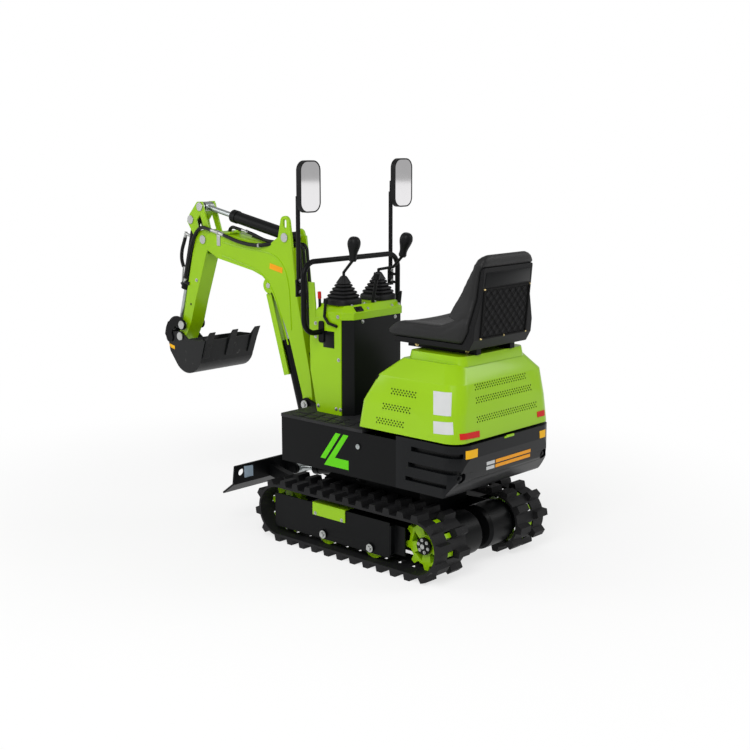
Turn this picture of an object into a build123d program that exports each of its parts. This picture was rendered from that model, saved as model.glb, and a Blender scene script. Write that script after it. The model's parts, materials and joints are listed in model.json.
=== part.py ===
from build123d import *
from math import acos, atan2, cos, degrees, hypot, pi, radians, sin
import os

# Mini excavator on rubber tracks, millimetres.
# +X points to the bucket, +Y to the operator's left, +Z up, and the ground is at Z = 0.
# Profiles are drawn from the slewing axis, which stands SLEW_X from the origin.
SLEW_X = -452.6

# Tracks
LINK_PITCH = 72.0
LINKS = 30
WHEEL_TEETH = 9
BELT_WIDTH = 180.0
TRACK_OUTER_Y = 345.0
LUG_HEIGHT = 22.0
BELT_THICKNESS = 10.0
CORD_TO_OUTSIDE = 8.0
LUG_BASE = 38.0
LUG_TIP = 26.0
LUG_WIDTH = 68.0
WINDOW_LENGTH = 32.0
WINDOW_WIDTH = 40.0

# Sprockets, idlers and rollers
WHEEL_ROOT_R = 84.0
WHEEL_TIP_R = 106.0
WHEEL_WIDTH = 32.0
TOOTH_ROOT = 34.0
TOOTH_TIP = 18.0
WHEEL_CUTOUTS = 5
HUB_R = 25.0
HUB_BORE_R = 12.0
HUB_LENGTH = 14.0
AXLE_R = 13.0
ROLLER_R = 56.0
ROLLER_CORE_R = 46.0
ROLLER_WIDTH = 88.0
ROLLER_FLANGE = 22.0
ROLLER_SPACING = 258.0
BOLT_HEAD_R = 12.0
BOLT_HEAD_H = 8.0
SEAT_GAP = 0.3

# Track frames
PLATE = 6.0
FRAME_OUTER_Y = 320.0
FRAME_INNER_Y = 190.0
FRAME_REAR = -232.0
FRAME_FRONT = 415.0
FRAME_LOW = 58.0
FRAME_TOP = 201.0
BRACKET_REAR = -290.0
BRACKET_Y = 296.0
COVER_REAR = 5.0
COVER_FRONT = 188.0
COVER_LOW = 152.0
COVER_DEPTH = 56.0
COVER_SHEET = 4.0

# Travel motors and car body
MOTOR_R = 90.0
MOTOR_INNER_Y = 26.0
MOTOR_OUTER_Y = 160.0
DRIVE_R = 60.0
BODY_FRONT = 290.0
BODY_REAR = -240.0
BODY_HALF = 150.0
BODY_LOW = 115.0
BODY_TOP = 285.0
SLEW_RING_R = 185.0
SLEW_RACE_R = 150.0
SLEW_GAP = 0.1

# Dozer blade
BLADE_PIVOT = (322.0, 150.0)
BLADE_PIN_R = 12.0
BLADE_ARM_Y = 116.0
BLADE_ARM_WIDTH = 30.0
BLADE_TOP = (643.0, 277.0)
BLADE_BEND = (654.0, 194.0)
BLADE_TIP = (720.0, 146.0)
BLADE_SHEET = 8.0
BLADE_HOLE_R = 16.0
BLADE_HOLE = (305.0, 34.0)
BLADE_ROD_PIN = (596.0, 215.0)
BLADE_CYLINDER_BASE = (308.0, 258.0)

# House
HOUSE_FRONT = 385.0
HOUSE_HALF = 305.0
HOUSE_LOW = 345.0
DECK_LOW = 532.0
DECK_TOP = 545.0
DECK_LIP = 5.0
TUB_WALL = 6.0
TUB_FLOOR = 12.0
CAST_FRONT = -250.0
TAIL = -560.0
TAIL_CORNER_R = 78.0
TAIL_TOP = 549.0
TAIL_WALL = 65.0
LOUVRE_DEPTH = 22.0
LOUVRES = ((502.0, 18.0, -327.0, -549.0), (439.0, 18.0, -313.0, -544.0), (384.0, 16.0, -299.0, -500.0))
TAIL_RECESS = (262.0, 423.0, 22.0)

# Engine hood
HOOD_LOW = 557.0
HOOD_SHOULDER = 772.0
HOOD_RISE = 66.0
HOOD_SHELL = 4.0
HOOD_REAR_R = 62.0
HOOD_FRONT_R = 24.0
HOOD_HINGE = (-66.0, 565.0)
SEAT_BASE_RISE = 28.0
SEAT_BASE = (-490.0, -208.0, 205.0)
VENT_PITCH = 15.0
VENT_ROW = 9.0
VENT_HOLE = 6.5
SIDE_VENTS = ((-274.0, 55.0, 9), (-245.0, 117.0, 10), (-216.0, 176.0, 10))
REAR_VENTS = ((15.0, 16.0, 22), (0.0, 65.0, 24), (-12.0, 137.0, 26))
ENGINE_ROOM = 25.0

# Seat
SEAT_HALF = 195.0
SEAT_BACK_HALF = 166.0
SEAT_TOP_R = 62.0
SEAT_FRONT = -104.0
RAIL_RISE = 24.0
SEAT_BACK_RISE = 360.0

# Console
CONSOLE_FRONT = 300.0
CONSOLE_REAR = 120.0
CONSOLE_HALF = 177.0
CONSOLE_CORNER = 36.0
CONSOLE_TOP = 942.0
CAP_EDGE = 970.0
CAP_TOP = 998.0
GAITER = (218.0, 106.0)

# Guard rail and mirrors
RAIL_X = 266.0
RAIL_Y = 286.0
RAIL_LOW = 885.0
RAIL_TOP = 1177.0
RAIL_R = 11.0
RAIL_BEND = 61.0
MIRROR_POST = (301.0, 279.0)
MIRROR_Z = 1480.0
MIRROR_NECK = 40.0
MIRROR_WIDTH = 113.0
MIRROR_HEIGHT = 205.0

# Pins of the working arm, (x from the slewing axis, z)
BOOM_FOOT = (487.0, 529.0)
BOOM_ROD_PIN = (728.0, 1027.0)
BOOM_CYLINDER_BASE = (540.0, 420.0)
ARM_PIVOT = (1177.0, 1204.0)
ARM_ROD_PIN = (1195.0, 1354.0)
ARM_CYLINDER_BASE = (621.0, 1244.0)
BUCKET_CYLINDER_BASE = (1262.0, 1292.0)
GUIDE_PIN = (1324.0, 793.0)
LINK_PIN = (1404.0, 785.0)
BUCKET_PIVOT = (1352.0, 734.0)
BUCKET_PIN = (1428.0, 723.0)
LIFT_EYE = (620.0, 1303.0)

# Working arm plates
FOOT_R = 29.0
PIN_R = 12.0
PIN_GAP = 0.08
TUBE_START = 34.0
NECK_R = 17.0
BOSS_R = 28.0
WASHER_R = 20.0
HOSE_R = 7.0
BOOM_HALF = 50.0
TIP_PLATE = 5.0
NOTCH_HALF = 42.0
ROD_LUG_R = 34.0
TONGUE_HALF = 31.0
TONGUE_R = 34.0
ARM_HALF = 40.0
ARM_PLATE = 8.0
ARM_SLOT_R = 40.0
CHEEK_INNER = 52.0
CHEEK_PLATE = 12.0
EAR_LAYER = (42.0, 48.0)
LINK_LAYER = (49.0, 54.0)
GUIDE_LAYER = (55.0, 60.0)
EYE_HALF = 20.0
EYE_R = 22.0
BUCKET_HALF = 160.0
TOOTH_Y = 137.0
TOOTH_WIDTH = 38.0
BUCKET_SHEET = 6.0

# Guard over the boom cylinder's rod, measured ahead of the cylinder's axis and down from the rod's pin
GUARD_HALF = 38.0
GUARD_SHEET = 3.0
GUARD_FRONT = 40.0
GUARD_EDGE = 9.0
GUARD_START = 32.0
GUARD_END = 400.0

# Cylinders: barrel radius, rod radius, barrel length from its pin
BOOM_CYLINDER = (27.0, 13.0, 388.0)
ARM_CYLINDER = (27.0, 12.0, 392.0)
BUCKET_CYLINDER = (23.0, 11.0, 345.0)
BLADE_CYLINDER = (25.0, 12.0, 186.0)

# Sizes that follow from the values above
PITCH_R = LINK_PITCH * WHEEL_TEETH / (2 * pi)
AXLE_DISTANCE = (LINKS - WHEEL_TEETH) * LINK_PITCH / 2
BELT_OUTER_R = PITCH_R + CORD_TO_OUTSIDE
BELT_INNER_R = BELT_OUTER_R - BELT_THICKNESS
LUG_R = BELT_OUTER_R + LUG_HEIGHT
AXLE_Z = LUG_R
TRACK_Y = TRACK_OUTER_Y - BELT_WIDTH / 2
SPROCKET_X = -AXLE_DISTANCE / 2
IDLER_X = AXLE_DISTANCE / 2
ROLLER_Z = AXLE_Z - BELT_INNER_R + ROLLER_R + SEAT_GAP
HOOD_TOP = HOOD_SHOULDER + HOOD_RISE
SEAT_BASE_TOP = HOOD_TOP + SEAT_BASE_RISE
SEAT_LOW = SEAT_BASE_TOP + RAIL_RISE


def side(y):
    """Plane across the machine at y: profiles are (x, z), and they extrude towards the right."""
    return Plane(origin=(SLEW_X, y, 0), x_dir=(1, 0, 0), z_dir=(0, -1, 0))


def across(x):
    """Plane facing forward at x: profiles are (y, z), and they extrude forward."""
    return Plane(origin=(SLEW_X + x, 0, 0), x_dir=(0, 1, 0), z_dir=(1, 0, 0))


def level(z):
    """Level plane at z: profiles are (x, y), and they extrude upward."""
    return Plane(origin=(SLEW_X, 0, z))


def mirrored(piece):
    """A piece's twin on the machine's right side."""
    return mirror(piece, about=Plane.XZ)


def save(node, *pieces):
    """Write one node, made of one or more solids, as its STEP file."""
    solids = [solid for piece in pieces for solid in piece.solids()]
    body = Compound(children=solids) if len(solids) > 1 else pieces[0]
    body.label = node
    export_step(body, f"parts/{node}.step")


def loop_place(distance):
    """Place on the track's cord line at a distance along it, from the sprocket's top forward."""
    arc = pi * PITCH_R
    distance = distance % (2 * AXLE_DISTANCE + 2 * arc)
    if distance < AXLE_DISTANCE:
        return Location((SPROCKET_X + distance, AXLE_Z + PITCH_R), 0)
    distance -= AXLE_DISTANCE
    if distance < arc:
        turn = distance / PITCH_R
        return Location((IDLER_X + PITCH_R * sin(turn), AXLE_Z + PITCH_R * cos(turn)), -degrees(turn))
    distance -= arc
    if distance < AXLE_DISTANCE:
        return Location((IDLER_X - distance, AXLE_Z - PITCH_R), 180)
    turn = (distance - AXLE_DISTANCE) / PITCH_R
    return Location((SPROCKET_X - PITCH_R * sin(turn), AXLE_Z - PITCH_R * cos(turn)), 180 - degrees(turn))


def lug_profile():
    """Trapezoid of one lug, standing on the cord line, sunk a little into the belt."""
    sunk = CORD_TO_OUTSIDE - 2
    tip = CORD_TO_OUTSIDE + LUG_HEIGHT
    return [(-LUG_BASE / 2, sunk), (LUG_BASE / 2, sunk), (LUG_TIP / 2, tip), (-LUG_TIP / 2, tip)]


def make_track():
    """Left rubber track: a belt with staggered lugs and a window for each tooth."""
    inner_edge = TRACK_OUTER_Y - BELT_WIDTH
    with BuildPart() as track:
        with BuildSketch(side(TRACK_OUTER_Y)):
            with Locations((0, AXLE_Z)):
                SlotCenterToCenter(AXLE_DISTANCE, 2 * BELT_OUTER_R)
                SlotCenterToCenter(AXLE_DISTANCE, 2 * BELT_INNER_R, mode=Mode.SUBTRACT)
        extrude(amount=BELT_WIDTH)
        for y, phase in ((TRACK_OUTER_Y, 0.0), (inner_edge + LUG_WIDTH, 0.5)):
            with BuildSketch(side(y)):
                with Locations(*[loop_place((i + phase) * LINK_PITCH) for i in range(LINKS)]):
                    Polygon(*lug_profile(), align=None)
            extrude(amount=LUG_WIDTH)
        with BuildSketch(side(TRACK_Y + WINDOW_WIDTH / 2)):
            with Locations(*[loop_place((i + 0.5) * LINK_PITCH) for i in range(LINKS)]):
                Rectangle(WINDOW_LENGTH, 3 * BELT_THICKNESS)
        extrude(amount=WINDOW_WIDTH, mode=Mode.SUBTRACT)
    return track.part


def make_wheel(x, first_tooth, axle):
    """Toothed wheel of the left track, with its cut-outs, hub and, on an idler, its axle."""
    depth = WHEEL_TIP_R - WHEEL_ROOT_R + 4
    tooth = [(0, -TOOTH_ROOT / 2), (depth, -TOOTH_TIP / 2), (depth, TOOTH_TIP / 2), (0, TOOTH_ROOT / 2)]
    face = TRACK_Y + WHEEL_WIDTH / 2
    with BuildPart() as wheel:
        with BuildSketch(side(face)):
            with Locations((x, AXLE_Z)):
                Circle(WHEEL_ROOT_R)
                with PolarLocations(WHEEL_ROOT_R - 4, WHEEL_TEETH, start_angle=first_tooth):
                    Polygon(*tooth, align=None)
                with PolarLocations(54, WHEEL_CUTOUTS, start_angle=first_tooth + 36):
                    Trapezoid(46, 30, 62, rotation=90, mode=Mode.SUBTRACT)
        extrude(amount=WHEEL_WIDTH)
        with BuildSketch(side(face + HUB_LENGTH)):
            with Locations((x, AXLE_Z)):
                Circle(HUB_R)
        extrude(amount=HUB_LENGTH + WHEEL_WIDTH)
        if axle:
            with BuildSketch(side(FRAME_OUTER_Y - PLATE - SEAT_GAP)):
                with Locations((x, AXLE_Z)):
                    Circle(AXLE_R)
            extrude(amount=FRAME_OUTER_Y - PLATE - FRAME_INNER_Y - PLATE - 2 * SEAT_GAP)
        else:
            with BuildSketch(side(face + HUB_LENGTH)):
                with Locations((x, AXLE_Z)):
                    Circle(HUB_BORE_R)
            extrude(amount=HUB_LENGTH, mode=Mode.SUBTRACT)
    return wheel.part


def make_roller(x):
    """One double-flanged bottom roller with its axle between the frame plates."""
    with BuildPart() as roller:
        with BuildSketch(side(TRACK_Y + ROLLER_WIDTH / 2)):
            with Locations((x, ROLLER_Z)):
                Circle(ROLLER_CORE_R)
        extrude(amount=ROLLER_WIDTH)
        for y in (TRACK_Y + ROLLER_WIDTH / 2, TRACK_Y - ROLLER_WIDTH / 2 + ROLLER_FLANGE):
            with BuildSketch(side(y)):
                with Locations((x, ROLLER_Z)):
                    Circle(ROLLER_R)
            extrude(amount=ROLLER_FLANGE)
        with BuildSketch(side(FRAME_OUTER_Y - PLATE - SEAT_GAP)):
            with Locations((x, ROLLER_Z)):
                Circle(AXLE_R)
        extrude(amount=FRAME_OUTER_Y - 2 * PLATE - FRAME_INNER_Y - 2 * SEAT_GAP)
    return roller.part


def make_track_frame():
    """Left track frame: two side plates, their top plate, the drive's mounting and the axle bolts."""
    outline = [
        (FRAME_REAR, FRAME_LOW), (FRAME_FRONT - 8, FRAME_LOW), (FRAME_FRONT, FRAME_LOW + 14),
        (FRAME_FRONT, FRAME_TOP), (FRAME_REAR, FRAME_TOP),
    ]
    ring_r = DRIVE_R + 18
    with BuildPart() as frame:
        for y in (FRAME_OUTER_Y, FRAME_INNER_Y + PLATE):
            with BuildSketch(side(y)):
                Polygon(*outline, align=None)
            extrude(amount=PLATE)
        with BuildSketch(side(FRAME_INNER_Y + PLATE)):
            with Locations((SPROCKET_X, AXLE_Z)):
                Circle(ring_r)
            Polygon((SPROCKET_X, AXLE_Z - ring_r), (FRAME_REAR + 2, FRAME_LOW), (FRAME_REAR + 2, FRAME_TOP),
                    (SPROCKET_X, AXLE_Z + ring_r), align=None)
            with Locations((SPROCKET_X, AXLE_Z)):
                Circle(DRIVE_R + SEAT_GAP, mode=Mode.SUBTRACT)
        extrude(amount=PLATE)
        with BuildSketch(level(FRAME_TOP - 3 * PLATE)):
            Polygon((FRAME_REAR, FRAME_INNER_Y), (240, FRAME_INNER_Y), (240, FRAME_OUTER_Y),
                    (FRAME_REAR, FRAME_OUTER_Y), align=None)
        extrude(amount=PLATE)
        with BuildSketch(level(FRAME_LOW + 14)):
            Polygon((BRACKET_REAR, BRACKET_Y - PLATE), (FRAME_REAR - PLATE, BRACKET_Y - PLATE),
                    (FRAME_REAR - PLATE, FRAME_INNER_Y + PLATE / 2), (FRAME_REAR + PLATE, FRAME_INNER_Y + PLATE / 2),
                    (FRAME_REAR + PLATE, FRAME_OUTER_Y - 1), (FRAME_REAR - PLATE, FRAME_OUTER_Y - 1),
                    (FRAME_REAR - PLATE, BRACKET_Y), (BRACKET_REAR, BRACKET_Y), align=None)
        extrude(amount=FRAME_TOP - FRAME_LOW - 26)
        with BuildSketch(side(FRAME_OUTER_Y + BOLT_HEAD_H)):
            with Locations((-ROLLER_SPACING / 2, ROLLER_Z), (ROLLER_SPACING / 2, ROLLER_Z)):
                Circle(BOLT_HEAD_R)
        extrude(amount=BOLT_HEAD_H + PLATE / 2)
    return frame.part


def make_frame_cover():
    """Folded cover sheet over the middle of the left track frame."""
    top = FRAME_TOP + SEAT_GAP + COVER_SHEET
    with BuildPart() as cover:
        with BuildSketch(across(COVER_REAR)):
            Polygon((FRAME_OUTER_Y + SEAT_GAP, COVER_LOW), (FRAME_OUTER_Y + SEAT_GAP + COVER_SHEET, COVER_LOW),
                    (FRAME_OUTER_Y + SEAT_GAP + COVER_SHEET, top), (FRAME_OUTER_Y - COVER_DEPTH, top),
                    (FRAME_OUTER_Y - COVER_DEPTH, top - COVER_SHEET),
                    (FRAME_OUTER_Y + SEAT_GAP, top - COVER_SHEET), align=None)
        extrude(amount=COVER_FRONT - COVER_REAR)
    return cover.part


def make_travel_motor():
    """Left travel motor: its round cover and the final drive that turns the sprocket."""
    with BuildPart() as motor:
        with BuildSketch(side(MOTOR_OUTER_Y)):
            with Locations((SPROCKET_X, AXLE_Z)):
                Circle(MOTOR_R)
        extrude(amount=MOTOR_OUTER_Y - MOTOR_INNER_Y)
        chamfer(motor.edges().filter_by(GeomType.CIRCLE).sort_by(Axis.Y)[0], 12)
        with BuildSketch(side(TRACK_Y - WHEEL_WIDTH / 2)):
            with Locations((SPROCKET_X, AXLE_Z)):
                Circle(DRIVE_R)
        extrude(amount=TRACK_Y - WHEEL_WIDTH / 2 - MOTOR_OUTER_Y)
    return motor.part


def make_car_body():
    """Centre frame with its beams to the track frames, the slewing race and the blade's lugs."""
    pivot_x, pivot_z = BLADE_PIVOT
    base_x, base_z = BLADE_CYLINDER_BASE
    with BuildPart() as body:
        with BuildSketch(side(BODY_HALF)):
            Polygon((BODY_REAR, BODY_LOW + 40), (BODY_REAR + 50, BODY_LOW), (BODY_FRONT, BODY_LOW),
                    (BODY_FRONT, BODY_TOP - 30), (BODY_FRONT - 40, BODY_TOP), (BODY_REAR, BODY_TOP), align=None)
        extrude(amount=2 * BODY_HALF)
        for x in (-130, 150):
            with BuildSketch(side(FRAME_INNER_Y)):
                with Locations((x, 156)):
                    Rectangle(180, 84)
            extrude(amount=2 * FRAME_INNER_Y)
        with BuildSketch(level(BODY_TOP - 5)):
            Circle(SLEW_RING_R)
        extrude(amount=35)
        with BuildSketch(level(BODY_TOP)):
            Circle(SLEW_RACE_R)
        extrude(amount=HOUSE_LOW - BODY_TOP - SLEW_GAP)
        for middle in (-BLADE_ARM_Y, BLADE_ARM_Y):
            for y in (middle + BLADE_ARM_WIDTH / 2 + 1 + 12, middle - BLADE_ARM_WIDTH / 2 - 1):
                with BuildSketch(side(y)):
                    with Locations((pivot_x, pivot_z)):
                        Circle(BOSS_R)
                    Polygon((BODY_FRONT - 5, pivot_z - BOSS_R), (pivot_x, pivot_z - BOSS_R),
                            (pivot_x, pivot_z + BOSS_R), (BODY_FRONT - 5, pivot_z + BOSS_R + 12), align=None)
                extrude(amount=12)
            with BuildSketch(side(middle + BLADE_ARM_WIDTH / 2 + 14)):
                with Locations((pivot_x, pivot_z)):
                    Circle(BLADE_PIN_R)
            extrude(amount=BLADE_ARM_WIDTH + 28)
        for y in (EYE_HALF + 1 + 10, -EYE_HALF - 1):
            with BuildSketch(side(y)):
                with Locations((base_x, base_z)):
                    Circle(EYE_R)
                Polygon((BODY_FRONT - 35, base_z - EYE_R), (base_x, base_z - EYE_R), (base_x, base_z + EYE_R),
                        (BODY_FRONT - 45, base_z + EYE_R), align=None)
            extrude(amount=10)
        with BuildSketch(side(EYE_HALF + 14)):
            with Locations((base_x, base_z)):
                Circle(PIN_R)
        extrude(amount=2 * EYE_HALF + 28)
        with BuildSketch(side(EYE_HALF + 1)):
            with Locations((base_x, base_z)):
                Circle(EYE_R + 8)
                Circle(PIN_R, mode=Mode.SUBTRACT)
        extrude(amount=2 * EYE_HALF + 2, mode=Mode.SUBTRACT)
    return body.part


def make_blade():
    """Dozer blade: the bent sheet, its two arms, the rod's lugs and the round tie-down holes."""
    pivot_x, pivot_z = BLADE_PIVOT
    rod_x, rod_z = BLADE_ROD_PIN
    back = BLADE_TOP[0] + 4
    with BuildPart() as blade:
        with BuildSketch(side(TRACK_OUTER_Y)) as sheet:
            with BuildLine() as line:
                Polyline(BLADE_TOP, BLADE_BEND, BLADE_TIP)
            trace(line_width=BLADE_SHEET)
        extrude(amount=2 * TRACK_OUTER_Y)
        hole_y, hole_down = BLADE_HOLE
        slope = Vector(BLADE_BEND[0] - BLADE_TOP[0], 0, BLADE_BEND[1] - BLADE_TOP[1]).normalized()
        edge = Vector(SLEW_X + BLADE_TOP[0], 0, BLADE_TOP[1])
        holes = Plane(origin=edge + slope * hole_down, x_dir=(0, 1, 0), z_dir=(-slope.Z, 0, slope.X))
        with BuildSketch(holes.offset(-20)):
            with Locations((hole_y, 0), (-hole_y, 0)):
                Circle(BLADE_HOLE_R)
        extrude(amount=40, mode=Mode.SUBTRACT)
        for middle in (-BLADE_ARM_Y, BLADE_ARM_Y):
            with BuildSketch(side(middle + BLADE_ARM_WIDTH / 2)):
                with Locations((pivot_x, pivot_z)):
                    Circle(BOSS_R)
                Polygon((pivot_x, pivot_z - BOSS_R), (back + 6, 194), (back, 246), (back - 60, 230),
                        (pivot_x, pivot_z + BOSS_R), align=None)
                with Locations((pivot_x, pivot_z)):
                    Circle(BLADE_PIN_R + PIN_GAP, mode=Mode.SUBTRACT)
            extrude(amount=BLADE_ARM_WIDTH)
        for y in (EYE_HALF + 1 + 10, -EYE_HALF - 1):
            with BuildSketch(side(y)):
                with Locations((rod_x, rod_z)):
                    Circle(EYE_R)
                Polygon((rod_x, rod_z - EYE_R), (back + 4, rod_z - EYE_R), (back, rod_z + EYE_R),
                        (rod_x, rod_z + EYE_R), align=None)
            extrude(amount=10)
        for y in (EYE_HALF + 14, -EYE_HALF - 1):
            with BuildSketch(side(y)):
                with Locations((rod_x, rod_z)):
                    Circle(PIN_R)
            extrude(amount=13)
    return blade.part


def axis_plane(base, tip):
    """Plane at a cylinder's base pin, with its local X along the cylinder, in the middle of the machine."""
    run_x, run_z = tip[0] - base[0], tip[1] - base[1]
    length = hypot(run_x, run_z)
    direction = (run_x / length, 0, run_z / length)
    return Plane(origin=(SLEW_X + base[0], 0, base[1]), x_dir=direction, z_dir=(0, -1, 0)), length


def make_barrel(base, tip, sizes):
    """A hydraulic cylinder's barrel: base eye, tube and gland, bored for its rod."""
    barrel_r, rod_r, barrel_length = sizes
    plane, length = axis_plane(base, tip)
    ahead = Plane(origin=plane.origin, x_dir=(0, 1, 0), z_dir=plane.x_dir)
    with BuildPart() as barrel:
        with BuildSketch(ahead.offset(TUBE_START)):
            Circle(barrel_r)
        extrude(amount=barrel_length - TUBE_START)
        with BuildSketch(ahead.offset(PIN_R + 2)):
            Circle(NECK_R)
        extrude(amount=TUBE_START - PIN_R)
        with BuildSketch(ahead.offset(barrel_length - 30)):
            Circle(barrel_r + 2.5)
        extrude(amount=30)
        with BuildSketch(plane.offset(-EYE_HALF)):
            Circle(EYE_R)
        extrude(amount=2 * EYE_HALF)
        with BuildSketch(plane.offset(-EYE_HALF - 1)):
            Circle(PIN_R + PIN_GAP)
        extrude(amount=2 * EYE_HALF + 2, mode=Mode.SUBTRACT)
        with BuildSketch(ahead.offset(TUBE_START + 6)):
            Circle(rod_r + PIN_GAP)
        extrude(amount=barrel_length, mode=Mode.SUBTRACT)
    return barrel.part


def make_rod(base, tip, sizes, hidden):
    """A cylinder's rod with its eye, reaching some way into the barrel."""
    barrel_r, rod_r, barrel_length = sizes
    plane, length = axis_plane(base, tip)
    ahead = Plane(origin=plane.origin, x_dir=(0, 1, 0), z_dir=plane.x_dir)
    eye_plane = Plane(origin=plane.origin + plane.x_dir * length, x_dir=plane.x_dir, z_dir=plane.z_dir)
    start = barrel_length - hidden
    with BuildPart() as rod:
        with BuildSketch(ahead.offset(start)):
            Circle(rod_r)
        extrude(amount=length - start - PIN_R)
        with BuildSketch(eye_plane.offset(-EYE_HALF)):
            Circle(EYE_R)
        extrude(amount=2 * EYE_HALF)
        with BuildSketch(eye_plane.offset(-EYE_HALF - 1)):
            Circle(PIN_R + 1)
        extrude(amount=2 * EYE_HALF + 2, mode=Mode.SUBTRACT)
    return rod.part


def make_rod_guard():
    """Folded guard ahead of the boom cylinder's rod, with the block that carries it on the rod's eye."""
    plane, length = axis_plane(BOOM_CYLINDER_BASE, BOOM_ROD_PIN)
    down = Plane(origin=plane.origin + plane.x_dir * length, x_dir=(0, 1, 0), z_dir=-plane.x_dir)
    inner = GUARD_HALF - GUARD_SHEET
    with BuildPart() as guard:
        with BuildSketch(down.offset(GUARD_START)):
            Polygon((-GUARD_HALF, GUARD_EDGE), (-GUARD_HALF, GUARD_FRONT), (GUARD_HALF, GUARD_FRONT),
                    (GUARD_HALF, GUARD_EDGE), (inner, GUARD_EDGE), (inner, GUARD_FRONT - GUARD_SHEET),
                    (-inner, GUARD_FRONT - GUARD_SHEET), (-inner, GUARD_EDGE), align=None)
        extrude(amount=GUARD_END - GUARD_START)
        with BuildSketch(down.offset(-10)):
            with Locations((0, GUARD_FRONT - GUARD_SHEET / 2)):
                Rectangle(60, GUARD_SHEET)
        extrude(amount=GUARD_START + 12)
        with BuildSketch(down.offset(-9)):
            with Locations((0, (EYE_R + GUARD_FRONT) / 2 + 0.1)):
                Rectangle(30, GUARD_FRONT - EYE_R)
        extrude(amount=18)
    return guard.part


def make_house_frame():
    """House frame: the open tub under the deck, the boom's cheeks and the slewing race."""
    foot_x, foot_z = BOOM_FOOT
    base_x, base_z = BOOM_CYLINDER_BASE
    with BuildPart() as frame:
        with BuildSketch(level(HOUSE_LOW)):
            Polygon((CAST_FRONT, -HOUSE_HALF), (HOUSE_FRONT, -HOUSE_HALF), (HOUSE_FRONT, HOUSE_HALF),
                    (CAST_FRONT, HOUSE_HALF), align=None)
        extrude(amount=DECK_LOW - HOUSE_LOW)
        with BuildSketch(level(HOUSE_LOW + TUB_FLOOR)):
            Polygon((CAST_FRONT - 1, TUB_WALL - HOUSE_HALF), (HOUSE_FRONT - TUB_WALL, TUB_WALL - HOUSE_HALF),
                    (HOUSE_FRONT - TUB_WALL, HOUSE_HALF - TUB_WALL), (CAST_FRONT - 1, HOUSE_HALF - TUB_WALL),
                    align=None)
        extrude(amount=DECK_LOW, mode=Mode.SUBTRACT)
        with BuildSketch(level(HOUSE_LOW - 22)):
            Circle(SLEW_RING_R + 10)
            Circle(SLEW_RACE_R + 3, mode=Mode.SUBTRACT)
        extrude(amount=22)
        for y in (CHEEK_INNER + CHEEK_PLATE, -CHEEK_INNER):
            with BuildSketch(side(y)):
                with Locations((foot_x, foot_z)):
                    Circle(BOSS_R)
                with Locations((base_x, base_z)):
                    Circle(BOSS_R)
                Polygon((HOUSE_FRONT - 2, HOUSE_LOW + 4), (base_x, base_z - BOSS_R), (base_x + BOSS_R, base_z),
                        (foot_x + BOSS_R * 0.7, foot_z + BOSS_R * 0.7), (foot_x, foot_z + BOSS_R),
                        (HOUSE_FRONT - 2, DECK_LOW - 6), align=None)
            extrude(amount=CHEEK_PLATE)
        with BuildSketch(side(CHEEK_INNER + 1)):
            Polygon((HOUSE_FRONT - 2, HOUSE_LOW + 4), (base_x - 60, base_z - BOSS_R - 16),
                    (base_x - 60, base_z - BOSS_R - 4), (HOUSE_FRONT - 2, HOUSE_LOW + 16), align=None)
        extrude(amount=2 * CHEEK_INNER + 2)
        with BuildSketch(side(CHEEK_INNER + CHEEK_PLATE + 8)):
            with Locations((foot_x, foot_z)):
                Circle(PIN_R + 4)
            with Locations((base_x, base_z)):
                Circle(PIN_R)
        extrude(amount=2 * (CHEEK_INNER + CHEEK_PLATE + 8))
    return frame.part


def make_foot_mat():
    """Rubber deck plate in front of the hood."""
    with BuildPart() as mat:
        with BuildSketch(level(DECK_LOW)):
            Polygon((-78, -HOUSE_HALF - DECK_LIP), (HOUSE_FRONT + DECK_LIP, -HOUSE_HALF - DECK_LIP),
                    (HOUSE_FRONT + DECK_LIP, HOUSE_HALF + DECK_LIP), (-78, HOUSE_HALF + DECK_LIP), align=None)
        extrude(amount=DECK_TOP - DECK_LOW)
        fillet(mat.edges().filter_by(Axis.Z).sort_by(Axis.X)[-2:], 12)
    return mat.part


def tail_plan(inset):
    """Plan of the tail, rounded at its two rear corners, set in from its outside."""
    with BuildSketch() as plan:
        with Locations((TAIL + inset, 0)):
            Rectangle(2 * (CAST_FRONT - TAIL), 2 * (HOUSE_HALF - inset), align=(Align.MIN, Align.CENTER))
        fillet(plan.vertices().sort_by(Axis.X)[:2], TAIL_CORNER_R - inset)
    return plan.sketch


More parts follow.
